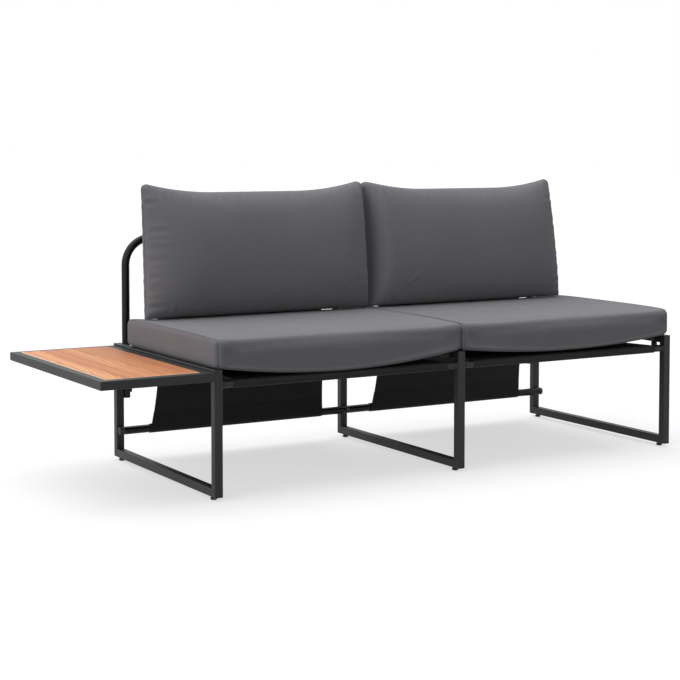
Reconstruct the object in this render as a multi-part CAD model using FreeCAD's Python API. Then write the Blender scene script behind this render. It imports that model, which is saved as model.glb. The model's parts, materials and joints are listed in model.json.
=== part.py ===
import FreeCAD, Part
import math
import os

# A two-seat garden sofa with a side table at its left end.
# Millimetres, +Z up, and the front faces -Y. The origin is on the floor, under the
# middle of the whole object. The pieces are drawn from the front left corner of the
# left leg frame (x to the right, y to the back, z up from the floor) and are moved to
# the origin when they are saved.

# Square tube and the three leg frames
TUBE = 20.0
TUBE_WALL = 1.5
TUBE_CORNER = 2.0
BAY = 650.0
FRAME_DEPTH = 577.0
FRAME_HEIGHT = 285.0

# Levelling feet
FOOT_RADIUS = 7.5
FOOT_HEIGHT = 8.0
FOOT_NECK = 2.0
FOOT_EDGE = 1.2
FOOT_INSET = 27.5
FOOT_STUD = 15.0

# Bolts, threaded inserts and plates
BOLT_RADIUS = 3.0
BOLT_REACH = 7.5
BOLT_HEAD_RADIUS = 5.5
BOLT_HEAD_HEIGHT = 4.5
BOLT_HEAD_ROUND = 2.5
SOCKET_FLATS = 4.0
SOCKET_DEPTH = 2.0
BOLT_CLEARANCE = 0.2
INSERT_RADIUS = 4.5
INSERT_LENGTH = 8.0
FOOT_INSERT_LENGTH = 12.0
THREAD_CLEARANCE = 0.08
INSERT_CLEARANCE = 0.05
PLATE = 4.0

# Front seat rails, with a welded end plate that climbs to the frame's top tube
RAIL_RADIUS = 8.0
RAIL_WALL = 1.5
RAIL_Y = 10.0
RAIL_DROP = 34.5
RAIL_BOLT_Y = 38.0
RAIL_PLATE_WIDTH = 18.0

# Bent back tube, its centre post and the low rod
BACK_TUBE_RADIUS = 10.0
BACK_TUBE_WALL = 1.5
BACK_BEND = 67.0
BEND_PARTS = 3
BACK_TUBE_TOP = 547.0
BACK_TUBE_BOTTOM = 155.0
POST_BOTTOM = 185.0
BACK_BOLT_RISE = 18.0
BACK_BOLT_PITCH = 84.0
POST_BOLT_PITCH = 54.0
PLUG_FLANGE = 2.0
PLUG_LENGTH = 12.0
PLUG_CLEARANCE = 0.1
ROD_RADIUS = 10.0
ROD_WALL = 1.5
ROD_HEIGHT = 75.0
CAP_RIM = 1.5
CAP_DOME = 2.5
TUBE_TOUCH = 0.1

# Mesh slings
SLING = 1.5
SLEEVE_EASE = 0.2
CREASE_INSET = 72.0
CREASE_DROP = 33.0
SEAT_SLING_MARGIN = 30.0
TOP_SLING_MARGIN = 78.0
CREASE_MARGIN = 80.0
LOW_SLING_MARGIN = 70.0

# Side table
TABLE_WIDTH = 268.0
TABLE_BOLT_RAIL = 26.0
TABLE_DROP = 5.5
BOARDS = 5
BOARD_THICKNESS = 14.0
BOARD_PROUD = 1.0
BOARD_GAP = 0.6
BOARD_EDGE = 1.5
BATTEN_WIDTH = 20.0
BATTEN_THICKNESS = 4.0
BATTEN_INSET = 130.0
TABLE_BOLT_INSET = 110.0
SCREW_RADIUS = 2.0
SCREW_BITE = 10.0
SCREW_HEAD_RADIUS = 4.0
SCREW_HEAD_HEIGHT = 2.0

# Cushions
COVER = 1.2
FILLING_CLEARANCE = 0.2
REST_CLEARANCE = 0.3
SEAT_OVERHANG = 6.0
SEAT_END_INSET = 3.5
SEAT_GAP = 1.0
SEAT_SIDE = 66.0
SEAT_CROWN = 7.0
SEAT_TOP_CORNER = 24.0
SEAT_LOW_CORNER = 14.0
SEAT_DRAWN_IN = 3.0
SEAT_END_ROUND = 0.6
SEAT_END_CROWN = 0.9
SEAT_REAR_BULGE = 9.0
ZIP_LENGTH = 260.0
ZIP_WIDTH = 8.0
ZIP_THICKNESS = 1.0
ZIP_PROUD = 0.3
BACK_NARROWER = 22.0
BACK_GAP = 2.0
BACK_SHIFT = 8.0
BACK_HEIGHT = 328.0
BACK_THICKNESS = 150.0
BACK_TOP_DIP = 17.0
BACK_SIDE_DIP = 11.0
BACK_LOW_DIP = 4.0
BACK_SETTLE = 0.5
BACK_CORNERS = {"left": (-9.0, -7.0, 0.0, 9.0), "right": (0.0, 0.0, 0.0, 0.0)}

# Places that follow from the sizes above
FRAME_LENGTH = 2 * BAY + TUBE
FRAME_BASE = FOOT_HEIGHT
FRAME_TOP = FRAME_BASE + FRAME_HEIGHT
FRAMES = {"left": 0.0, "middle": BAY, "right": 2 * BAY}
BAY_STARTS = {"left": TUBE, "right": BAY + TUBE}
BAY_CLEAR = BAY - TUBE
RAIL_Z = FRAME_TOP - RAIL_DROP
TOP_TUBE_Z = FRAME_TOP - TUBE / 2
BACK_TUBE_Y = FRAME_DEPTH - BACK_TUBE_RADIUS
ROD_Y = FRAME_DEPTH - TUBE - ROD_RADIUS - TUBE_TOUCH
TABLE_TOP = FRAME_TOP - TABLE_DROP
TABLE_BASE = TABLE_TOP - TUBE
TABLE_BOLT_Z = (TABLE_TOP + FRAME_TOP - TUBE) / 2
CREASE = (FRAME_DEPTH - CREASE_INSET, FRAME_TOP - CREASE_DROP)
SEAT_BASE = FRAME_TOP + REST_CLEARANCE
SLEEVE_TOP = RAIL_Z + RAIL_RADIUS + SLEEVE_EASE + SLING
SEAT_SAG = SEAT_BASE - SLEEVE_TOP - REST_CLEARANCE
ORIGIN_X = (FRAME_LENGTH - TABLE_WIDTH) / 2
ORIGIN_Y = (FRAME_DEPTH + SLEEVE_EASE + SLING - SEAT_OVERHANG) / 2

X = FreeCAD.Vector(1, 0, 0)
Y = FreeCAD.Vector(0, 1, 0)
Z = FreeCAD.Vector(0, 0, 1)


def vec(x, y, z):
    return FreeCAD.Vector(x, y, z)


def block(low, high):
    """Box between two opposite corners."""
    size = [b - a for a, b in zip(low, high)]
    return Part.makeBox(size[0], size[1], size[2], vec(*low))


def bar(radius, start, way, length):
    """Round bar from a point, along a unit vector."""
    return Part.makeCylinder(radius, length, start, way)


def pipe(radius, wall, start, way, length):
    """Round tube, open at both ends."""
    return bar(radius, start, way, length).cut(bar(radius - wall, start, way, length))


def fuse_all(shapes):
    """One solid from shapes that overlap or touch."""
    whole = shapes[0]
    for shape in shapes[1:]:
        whole = whole.fuse(shape)
    return whole.removeSplitter()


def rounded_wire(centre, u, v, width, height, radius):
    """Outline of a rectangle with round corners, in the plane of u and v."""
    edges = []
    ends = []
    for turn, (side_u, side_v) in enumerate(((1, 1), (-1, 1), (-1, -1), (1, -1))):
        middle = centre + u * (side_u * (width / 2 - radius)) + v * (side_v * (height / 2 - radius))
        points = []
        for part in (0.0, 0.5, 1.0):
            angle = math.pi / 2 * (turn + part)
            points.append(middle + u * (radius * math.cos(angle)) + v * (radius * math.sin(angle)))
        edges.append(Part.Arc(*points).toShape())
        ends.append((points[0], points[2]))
    for corner in range(4):
        edges.append(Part.makeLine(ends[corner][1], ends[(corner + 1) % 4][0]))
    return Part.Wire(Part.__sortEdges__(edges))


def mitred_tube(a, b, inside, depth, run_a, run_b):
    """Square tube from outer corner a to outer corner b of a frame.

    The tube reaches from that edge towards the inside of the frame by its depth. Its ends
    are cut to meet neighbours that are run_a and run_b deep.
    """
    length = (b - a).Length
    along = (b - a) * (1 / length)
    side = along.cross(inside)
    centre = a + inside * (depth / 2)
    outer = rounded_wire(centre, inside, side, depth, TUBE, TUBE_CORNER)
    inner = rounded_wire(centre, inside, side, depth - 2 * TUBE_WALL, TUBE - 2 * TUBE_WALL,
                         TUBE_CORNER - TUBE_WALL)
    tube = Part.Face(outer).extrude(along * length).cut(Part.Face(inner).extrude(along * length))
    for corner, way, run in ((a, along, run_a), (b, along * -1, run_b)):
        slope = inside * depth + way * run
        waste = Part.makePolygon([corner - slope, corner + slope * 2, corner + slope * 2 - way * (4 * run),
                                  corner - slope - way * (4 * run), corner - slope])
        prism = Part.Face(waste).extrude(side * (2 * TUBE))
        prism.translate(side * -TUBE)
        tube = tube.cut(prism)
    return tube


def insert(mouth, way, length):
    """Threaded insert, pressed in flush at the mouth of its hole."""
    return pipe(INSERT_RADIUS, INSERT_RADIUS - BOLT_RADIUS - THREAD_CLEARANCE, mouth, way, length)


def insert_hole(mouth, way):
    """What the drill takes out of one wall for an insert."""
    return bar(INSERT_RADIUS + INSERT_CLEARANCE, mouth - way * TUBE_WALL, way, 3 * TUBE_WALL)


def bolt(mouth, way, grip):
    """Dome-headed bolt through a grip, and on by its reach past the mouth of an insert."""
    seat = mouth - way * grip
    head = bar(BOLT_HEAD_RADIUS, seat, way * -1, BOLT_HEAD_HEIGHT)
    rim = [edge for edge in head.Edges if edge.Closed and (edge.CenterOfMass - seat).Length > BOLT_HEAD_HEIGHT / 2]
    head = head.makeFillet(BOLT_HEAD_ROUND, rim)
    across = SOCKET_FLATS / math.sqrt(3)
    u = vec(way.y, way.z, way.x)
    v = way.cross(u)
    face = seat - way * BOLT_HEAD_HEIGHT
    corners = []
    for turn in range(7):
        angle = math.pi / 3 * turn
        corners.append(face + u * (across * math.cos(angle)) + v * (across * math.sin(angle)))
    socket = Part.Face(Part.makePolygon(corners)).extrude(way * SOCKET_DEPTH)
    return head.cut(socket).fuse(bar(BOLT_RADIUS, seat, way, grip + BOLT_REACH)).removeSplitter()


def bolt_hole(mouth, way, grip):
    """Clearance hole through a grip."""
    return bar(BOLT_RADIUS + BOLT_CLEARANCE, mouth - way * (grip + 1), way, grip + 2)


def save(node, solids):
    """Move a node's solids to the origin and write them to one file."""
    shape = solids[0] if len(solids) == 1 else Part.makeCompound(solids)
    shape = shape.copy()
    shape.translate(vec(-ORIGIN_X, -ORIGIN_Y, 0))
    box = shape.BoundBox
    shape.exportStep(os.path.join("parts", node + ".step"))
    print("%-22s solids %2d valid %s volume %10.0f  x %.1f..%.1f y %.1f..%.1f z %.1f..%.1f"
          % (node, len(shape.Solids), shape.isValid(), shape.Volume, box.XMin, box.XMax,
             box.YMin, box.YMax, box.ZMin, box.ZMax))


# Fixings, gathered while the pieces that they join are made

def foot_mouths():
    """Where each foot screws into its leg frame."""
    places = {}
    for row, y in (("front", FOOT_INSET), ("rear", FRAME_DEPTH - FOOT_INSET)):
        for side, x in FRAMES.items():
            places[row + "_" + side] = vec(x + TUBE / 2, y, FRAME_BASE)
    return places


def rail_mouths():
    """Where the end plates of the front rails are bolted, and the way that each bolt goes."""
    mouths = []
    for start in BAY_STARTS.values():
        mouths.append((vec(start, RAIL_BOLT_Y, TOP_TUBE_Z), X * -1))
        mouths.append((vec(start + BAY_CLEAR, RAIL_BOLT_Y, TOP_TUBE_Z), X))
    return mouths


def upright_places():
    """Centre lines of the back tube's two uprights and of the post, and the way to their legs."""
    offset = BACK_TUBE_RADIUS + TUBE_TOUCH
    return {"left": (TUBE + offset, X * -1, BACK_TUBE_BOTTOM, BACK_BOLT_PITCH),
            "middle": (BAY - offset, X, POST_BOTTOM, POST_BOLT_PITCH),
            "right": (2 * BAY - offset, X, BACK_TUBE_BOTTOM, BACK_BOLT_PITCH)}


def back_mouths():
    """Where the uprights and the post are bolted to the rear legs."""
    mouths = []
    for x, way, bottom, pitch in upright_places().values():
        for z in (bottom + BACK_BOLT_RISE, bottom + BACK_BOLT_RISE + pitch):
            mouths.append((vec(x, BACK_TUBE_Y, z) + way * (BACK_TUBE_RADIUS + TUBE_TOUCH), way))
    return mouths


def rod_mouths():
    """Where the low rod is bolted to the front of the rear legs."""
    return [(vec(x + TUBE / 2, FRAME_DEPTH - TUBE, ROD_HEIGHT), Y) for x in FRAMES.values()]


def table_mouths():
    """Where the bolts through the left top tube enter the table."""
    ends = (TABLE_BOLT_INSET, FRAME_DEPTH - TABLE_BOLT_INSET)
    return [(vec(0, y, TABLE_BOLT_Z), X * -1) for y in ends]


# Rigid pieces

def leg_frame(x):
    """Four mitred tubes, welded into an upright rectangle."""
    middle = x + TUBE / 2
    low_front = vec(middle, 0, FRAME_BASE)
    low_rear = vec(middle, FRAME_DEPTH, FRAME_BASE)
    top_rear = vec(middle, FRAME_DEPTH, FRAME_TOP)
    top_front = vec(middle, 0, FRAME_TOP)
    sides = ((low_front, low_rear, Z), (low_rear, top_rear, Y * -1),
             (top_rear, top_front, Z * -1), (top_front, low_front, Y))
    drills = [insert_hole(mouth, Z) for mouth in foot_mouths().values()]
    drills += [insert_hole(mouth, way) for mouth, way in rail_mouths() + back_mouths() + rod_mouths()]
    drills += [bolt_hole(mouth, way, TUBE) for mouth, way in table_mouths()]
    holes = Part.makeCompound(drills)
    return [mitred_tube(a, b, inside, TUBE, TUBE, TUBE).cut(holes) for a, b, inside in sides]


def foot(mouth):
    """Round glide with a stud, screwed up until its neck meets the leg frame."""
    disc = bar(FOOT_RADIUS, mouth - Z * FOOT_HEIGHT, Z, FOOT_HEIGHT - FOOT_NECK)
    disc = disc.makeChamfer(FOOT_EDGE, [edge for edge in disc.Edges if edge.Closed])
    neck = bar(INSERT_RADIUS, mouth - Z * FOOT_NECK, Z, FOOT_NECK)
    stud = bar(BOLT_RADIUS, mouth, Z, FOOT_STUD)
    return fuse_all([disc, neck, stud])


def front_rail(start):
    """Round rail between two leg frames, with an end plate welded to each end."""
    centre = vec(start + PLATE, RAIL_Y, RAIL_Z)
    solids = [pipe(RAIL_RADIUS, RAIL_WALL, centre, X, BAY_CLEAR - 2 * PLATE)]
    front = RAIL_Y - RAIL_RADIUS
    rear = RAIL_BOLT_Y + RAIL_PLATE_WIDTH / 2
    step = RAIL_BOLT_Y - RAIL_PLATE_WIDTH / 2
    low = RAIL_Z - RAIL_RADIUS
    high = RAIL_Z + RAIL_RADIUS
    top = TOP_TUBE_Z + BOLT_HEAD_RADIUS
    outline = ((front, low), (rear, low), (rear, top), (step, top), (step, high), (front, high), (front, low))
    holes = Part.makeCompound([bolt_hole(mouth, way, PLATE) for mouth, way in rail_mouths()])
    for x in (start, start + BAY_CLEAR - PLATE):
        plate = Part.Face(Part.makePolygon([vec(x, y, z) for y, z in outline])).extrude(X * PLATE)
        solids.append(plate.cut(holes))
    return solids


def tube_bend(centre, first):
    """Quarter bend of the back tube in equal parts, so that collision can follow it."""
    step = 90.0 / BEND_PARTS
    skins = []
    for radius in (BACK_TUBE_RADIUS, BACK_TUBE_RADIUS - BACK_TUBE_WALL):
        disc = Part.Face(Part.Wire(Part.makeCircle(radius, centre - X * BACK_BEND, Z)))
        skins.append(disc.revolve(centre, Y, step))
    parts = []
    for number in range(BEND_PARTS):
        part = skins[0].cut(skins[1])
        part.rotate(centre, Y, first + step * number)
        parts.append(part)
    return parts


def back_tube():
    """One round tube, bent at both shoulders: two uprights, the bends and the top length."""
    left = upright_places()["left"][0]
    right = upright_places()["right"][0]
    bottom = BACK_TUBE_BOTTOM + PLUG_FLANGE
    shoulder = FRAME_BASE + BACK_TUBE_TOP - BACK_BEND
    holes = back_bolt_holes()
    lengths = [pipe(BACK_TUBE_RADIUS, BACK_TUBE_WALL, vec(x, BACK_TUBE_Y, bottom), Z, shoulder - bottom).cut(holes)
               for x in (left, right)]
    lengths.append(pipe(BACK_TUBE_RADIUS, BACK_TUBE_WALL, vec(left + BACK_BEND, BACK_TUBE_Y, shoulder + BACK_BEND), X,
                        right - left - 2 * BACK_BEND))
    return (lengths + tube_bend(vec(left + BACK_BEND, BACK_TUBE_Y, shoulder), 0.0)
            + tube_bend(vec(right - BACK_BEND, BACK_TUBE_Y, shoulder), 90.0))


def back_bolt_holes():
    grip = 2 * BACK_TUBE_RADIUS + TUBE_TOUCH
    return Part.makeCompound([bolt_hole(mouth, way, grip) for mouth, way in back_mouths()])


def centre_post():
    """Straight post under the middle of the back tube, cut to fit round it."""
    x = upright_places()["middle"][0]
    bottom = POST_BOTTOM + PLUG_FLANGE
    top = FRAME_BASE + BACK_TUBE_TOP
    post = pipe(BACK_TUBE_RADIUS, BACK_TUBE_WALL, vec(x, BACK_TUBE_Y, bottom), Z, top - bottom)
    rail = bar(BACK_TUBE_RADIUS, vec(x - BAY / 2, BACK_TUBE_Y, top), X, BAY)
    return post.cut(rail).cut(back_bolt_holes())


def tube_plugs():
    """Plugs in the lower ends of the uprights and the post."""
    plugs = []
    bore = BACK_TUBE_RADIUS - BACK_TUBE_WALL - PLUG_CLEARANCE
    for x, way, bottom, pitch in upright_places().values():
        base = vec(x, BACK_TUBE_Y, bottom)
        flange = bar(BACK_TUBE_RADIUS, base, Z, PLUG_FLANGE)
        plugs.append(fuse_all([flange, bar(bore, base, Z, PLUG_LENGTH)]))
    return plugs


def low_rod():
    """Straight rod along the fronts of the rear legs."""
    length = FRAME_LENGTH - 2 * (CAP_RIM + CAP_DOME)
    rod = pipe(ROD_RADIUS, ROD_WALL, vec(CAP_RIM + CAP_DOME, ROD_Y, ROD_HEIGHT), X, length)
    grip = 2 * ROD_RADIUS + TUBE_TOUCH
    return rod.cut(Part.makeCompound([bolt_hole(mouth, way, grip) for mouth, way in rod_mouths()]))


def rod_caps():
    """Domed caps, pushed into the ends of the rod up to the bolts."""
    caps = []
    bore = ROD_RADIUS - ROD_WALL - PLUG_CLEARANCE
    dome = (ROD_RADIUS ** 2 + CAP_DOME ** 2) / (2 * CAP_DOME)
    spigot = TUBE / 2 - BOLT_RADIUS - BOLT_CLEARANCE - CAP_DOME - CAP_RIM
    for end, way in ((0.0, X), (FRAME_LENGTH, X * -1)):
        tip = vec(end, ROD_Y, ROD_HEIGHT)
        head = bar(ROD_RADIUS, tip, way, CAP_DOME + CAP_RIM)
        head = head.common(Part.makeSphere(dome, tip + way * dome))
        caps.append(fuse_all([head, bar(bore, tip + way * CAP_DOME, way, CAP_RIM + spigot)]))
    return caps


# Slings, each a flat cloth with a tunnel sewn along its edges

def tangent(point, centre, radius, side):
    """Where a line from a point touches a circle, in the plane of y and z."""
    dy = centre[0] - point[0]
    dz = centre[1] - point[1]
    span = math.hypot(dy, dz)
    angle = math.atan2(dz, dy) + side * math.asin(radius / span)
    reach = math.sqrt(span ** 2 - radius ** 2)
    return point[0] + reach * math.cos(angle), point[1] + reach * math.sin(angle)


def tunnel(radius):
    """Mid-line radius of the cloth round a tube."""
    return radius + SLEEVE_EASE + SLING / 2


TOP_TUNNEL = (BACK_TUBE_Y, FRAME_BASE + BACK_TUBE_TOP)
ROD_TUNNEL = (ROD_Y, ROD_HEIGHT)
FRONT_TUNNEL = (RAIL_Y, RAIL_Z)
TOP_TOUCH = tangent(CREASE, TOP_TUNNEL, tunnel(BACK_TUBE_RADIUS), 1)
ROD_TOUCH = tangent(CREASE, ROD_TUNNEL, tunnel(ROD_RADIUS), -1)
FRONT_TOUCH = tangent(CREASE, FRONT_TUNNEL, tunnel(RAIL_RADIUS), -1)
RECLINE = math.atan2(TOP_TOUCH[0] - CREASE[0], TOP_TOUCH[1] - CREASE[1])


def cloth(start, bay, near, margin_near, far, margin_far):
    """Cloth between two lines along x, with its own margin to the bay's ends at each."""
    end = start + bay
    corners = [vec(start + margin_near, near[0], near[1]), vec(end - margin_near, near[0], near[1]),
               vec(end - margin_far, far[0], far[1]), vec(start + margin_far, far[0], far[1])]
    normal = (corners[1] - corners[0]).cross(corners[3] - corners[0]).normalize()
    sheet = Part.Face(Part.makePolygon(corners + corners[:1])).extrude(normal * SLING)
    sheet.translate(normal * (-SLING / 2))
    return sheet


def sleeve(start, centre, radius, margin):
    """Sewn tunnel of cloth round a tube."""
    place = vec(start + margin, centre[0], centre[1])
    return pipe(radius + SLEEVE_EASE + SLING, SLING, place, X, BAY_CLEAR - 2 * margin)


def back_sling(start):
    """From the back tube down to the crease behind the seat, and on down to the low rod."""
    fold = bar(SLING / 2, vec(start + CREASE_MARGIN, CREASE[0], CREASE[1]), X, BAY_CLEAR - 2 * CREASE_MARGIN)
    return fuse_all([cloth(start, BAY_CLEAR, CREASE, CREASE_MARGIN, TOP_TOUCH, TOP_SLING_MARGIN), fold,
                     cloth(start, BAY_CLEAR, CREASE, CREASE_MARGIN, ROD_TOUCH, LOW_SLING_MARGIN),
                     sleeve(start, TOP_TUNNEL, BACK_TUBE_RADIUS, TOP_SLING_MARGIN),
                     sleeve(start, ROD_TUNNEL, ROD_RADIUS, LOW_SLING_MARGIN)])


def seat_sling(start, backing):
    """From the front rail back to the crease, where it is sewn to the back sling."""
    sling = fuse_all([sleeve(start, FRONT_TUNNEL, RAIL_RADIUS, SEAT_SLING_MARGIN),
                      cloth(start, BAY_CLEAR, FRONT_TOUCH, SEAT_SLING_MARGIN, CREASE, CREASE_MARGIN)])
    return sling.cut(backing)


# Side table

def table_frame():
    """Four mitred tubes, the one along the sofa deeper for its bolts."""
    z = TABLE_BASE + TUBE / 2
    corners = (vec(-TABLE_WIDTH, 0, z), vec(0, 0, z), vec(0, FRAME_DEPTH, z), vec(-TABLE_WIDTH, FRAME_DEPTH, z))
    insides = (Y, X * -1, Y * -1, X)
    depths = (TUBE, TABLE_BOLT_RAIL, TUBE, TUBE)
    holes = Part.makeCompound([insert_hole(mouth, way) for mouth, way in table_mouths()])
    tubes = []
    for side in range(4):
        tube = mitred_tube(corners[side], corners[(side + 1) % 4], insides[side], depths[side],
                           depths[side - 1], depths[(side + 1) % 4])
        tubes.append(tube.cut(holes))
    return tubes


def board_edges():
    """Left edge and width of each board, with equal gaps to the rails and each other."""
    left = TUBE - TABLE_WIDTH
    opening = TABLE_WIDTH - TUBE - TABLE_BOLT_RAIL
    width = (opening - (BOARDS + 1) * BOARD_GAP) / BOARDS
    return [(left + BOARD_GAP + place * (width + BOARD_GAP), width) for place in range(BOARDS)]


def batten_rows():
    return {"front": BATTEN_INSET, "rear": FRAME_DEPTH - BATTEN_INSET}


def screw_places():
    """Points on the boards' undersides where a screw comes up through a batten."""
    under = TABLE_TOP + BOARD_PROUD - BOARD_THICKNESS
    return [vec(left + width / 2, y, under) for left, width in board_edges() for y in batten_rows().values()]


def table_board(left, width):
    """Board with its top edges eased, and pilot holes for its screws."""
    top = TABLE_TOP + BOARD_PROUD
    board = block((left, TUBE + BOARD_GAP, top - BOARD_THICKNESS),
                  (left + width, FRAME_DEPTH - TUBE - BOARD_GAP, top))
    rim = [edge for edge in board.Edges if edge.CenterOfMass.z > top - BOARD_EDGE / 2]
    board = board.makeFillet(BOARD_EDGE, rim)
    return board.cut(Part.makeCompound([bar(SCREW_RADIUS, place, Z, SCREW_BITE) for place in screw_places()]))


def table_batten(y):
    """Flat steel strip, welded between the rails under the boards."""
    top = TABLE_TOP + BOARD_PROUD - BOARD_THICKNESS
    strip = block((TUBE - TABLE_WIDTH, y - BATTEN_WIDTH / 2, top - BATTEN_THICKNESS),
                  (-TABLE_BOLT_RAIL, y + BATTEN_WIDTH / 2, top))
    holes = [bar(SCREW_RADIUS + BOLT_CLEARANCE, place - Z * (2 * BATTEN_THICKNESS), Z, 3 * BATTEN_THICKNESS)
             for place in screw_places()]
    return strip.cut(Part.makeCompound(holes))


def table_screws():
    """Pan-headed screws, up through the battens into the boards."""
    screws = []
    for place in screw_places():
        seat = place - Z * BATTEN_THICKNESS
        head = bar(SCREW_HEAD_RADIUS, seat, Z * -1, SCREW_HEAD_HEIGHT)
        screws.append(fuse_all([head, bar(SCREW_RADIUS, seat, Z, BATTEN_THICKNESS + SCREW_BITE)]))
    return screws


# Cushions

def seat_span(side):
    """Left and right end of a seat cushion."""
    middle = FRAME_LENGTH / 2
    if side == "left":
        return SEAT_END_INSET, middle - SEAT_GAP / 2
    return middle + SEAT_GAP / 2, FRAME_LENGTH - SEAT_END_INSET


def seat_rear():
    """Rear face of a seat cushion, just in front of the sling at the cushion's base."""
    lean = (SEAT_BASE - SEAT_SAG + SEAT_LOW_CORNER - CREASE[1]) * math.tan(RECLINE)
    return CREASE[0] + lean - SLING - REST_CLEARANCE


def seat_section(x, front, rear, low, high, crown, low_corner, top_corner):
    """Outline across the cushion: flat base, upright sides, round corners and a domed top."""
    def at(y, z):
        return vec(x, y, z)

    def corner(y, z, way_y, way_z, radius):
        centre_y = y + way_y * radius
        centre_z = z + way_z * radius
        bend = radius * math.sqrt(0.5)
        return at(centre_y - way_y * bend, centre_z - way_z * bend)

    edges = [Part.makeLine(at(front + low_corner, low), at(rear - low_corner, low)),
             Part.Arc(at(rear - low_corner, low), corner(rear, low, -1, 1, low_corner),
                      at(rear, low + low_corner)).toShape(),
             Part.makeLine(at(rear, low + low_corner), at(rear, high - top_corner)),
             Part.Arc(at(rear, high - top_corner), corner(rear, high, -1, -1, top_corner),
                      at(rear - top_corner, high)).toShape(),
             Part.Arc(at(rear - top_corner, high), at((front + rear) / 2, high + crown),
                      at(front + top_corner, high)).toShape(),
             Part.Arc(at(front + top_corner, high), corner(front, high, 1, -1, top_corner),
                      at(front, high - top_corner)).toShape(),
             Part.makeLine(at(front, high - top_corner), at(front, low + low_corner)),
             Part.Arc(at(front, low + low_corner), corner(front, low, 1, 1, low_corner),
                      at(front + low_corner, low)).toShape()]
    return Part.Wire(edges)


def seat_stations():
    """Across the width: distance from the end, inset of the outline, sag, drawn-in front, rear bulge."""
    return ((0.0, 16.0, 0.0, 0.0, 1.0), (4.0, 8.0, 0.0, 0.0, 1.0), (12.0, 2.8, 0.0, 0.0, 1.0),
            (26.0, 0.4, 0.02, 0.04, 0.94), (48.0, 0.0, 0.2, 0.18, 0.68), (95.0, 0.0, 0.58, 0.5, 0.2),
            (150.0, 0.0, 0.83, 0.77, 0.06), (210.0, 0.0, 0.95, 0.93, 0.0), (270.0, 0.0, 0.99, 0.99, 0.0))


def seat_cushion(side, skin):
    """Loft along the width, sagging between the leg frames. With a skin, the space inside its cover."""
    left, right = seat_span(side)
    half = [list(station) for station in seat_stations()]
    half[0][0] = skin
    stations = [(left + reach, inset, sag, drawn, bulge) for reach, inset, sag, drawn, bulge in half]
    stations.append(((left + right) / 2, 0.0, 1.0, 1.0, 0.0))
    stations += [(right - reach, inset, sag, drawn, bulge) for reach, inset, sag, drawn, bulge in reversed(half)]
    wires = []
    for x, inset, sag, drawn, bulge in stations:
        front = -SEAT_OVERHANG + SEAT_DRAWN_IN * drawn + inset + skin
        rear = seat_rear() + SEAT_REAR_BULGE * bulge - inset - skin
        low = SEAT_BASE - SEAT_SAG * sag + inset * SEAT_END_ROUND + skin
        high = SEAT_BASE + SEAT_SIDE - inset * SEAT_END_ROUND - skin
        crown = SEAT_CROWN * (SEAT_END_CROWN + (1 - SEAT_END_CROWN) * sag)
        wires.append(seat_section(x, front, rear, low, high, crown, SEAT_LOW_CORNER - skin, SEAT_TOP_CORNER - skin))
    return Part.makeLoft(wires, True, False)


def seat_zip(side):
    """Zip tape, let into the rear of a seat cover."""
    left, right = seat_span(side)
    middle = (left + right) / 2
    z = SEAT_BASE + SEAT_SIDE / 4
    rear = seat_rear()
    return block((middle - ZIP_LENGTH / 2, rear + ZIP_PROUD - ZIP_THICKNESS, z - ZIP_WIDTH / 2),
                 (middle + ZIP_LENGTH / 2, rear + ZIP_PROUD, z + ZIP_WIDTH / 2))


def seat_top(y):
    """Height of the domed top of a seat cushion above a line along the sofa."""
    front = -SEAT_OVERHANG + SEAT_DRAWN_IN + SEAT_TOP_CORNER
    rear = seat_rear() - SEAT_TOP_CORNER
    half = (rear - front) / 2
    radius = (half ** 2 + SEAT_CROWN ** 2) / (2 * SEAT_CROWN)
    off = y - (front + rear) / 2
    return SEAT_BASE + SEAT_SIDE + SEAT_CROWN - radius + math.sqrt(radius ** 2 - off ** 2)


def back_foot():
    """Point under the middle of a back cushion, where it stands on the seat and leans on the sling."""
    stand_off = (BACK_THICKNESS + SLING) / 2 + REST_CLEARANCE
    z = SEAT_BASE + SEAT_SIDE
    for step in range(8):
        y = CREASE[0] + (z - CREASE[1]) * math.tan(RECLINE) - stand_off / math.cos(RECLINE)
        z = seat_top(y) + REST_CLEARANCE - BACK_SETTLE
    return y, z


def back_contours():
    """From the sewn edge to the front: depth and inset of the outline, and how far its sides still dip."""
    return ((0.0, 0.0, 1.0), (0.28, 9.0, 0.5), (0.55, 27.0, -0.2), (0.78, 56.0, -0.8), (0.93, 96.0, -1.3),
            (1.0, 140.0, -1.6))


def back_width():
    return seat_span("left")[1] - seat_span("left")[0] - BACK_NARROWER


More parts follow.
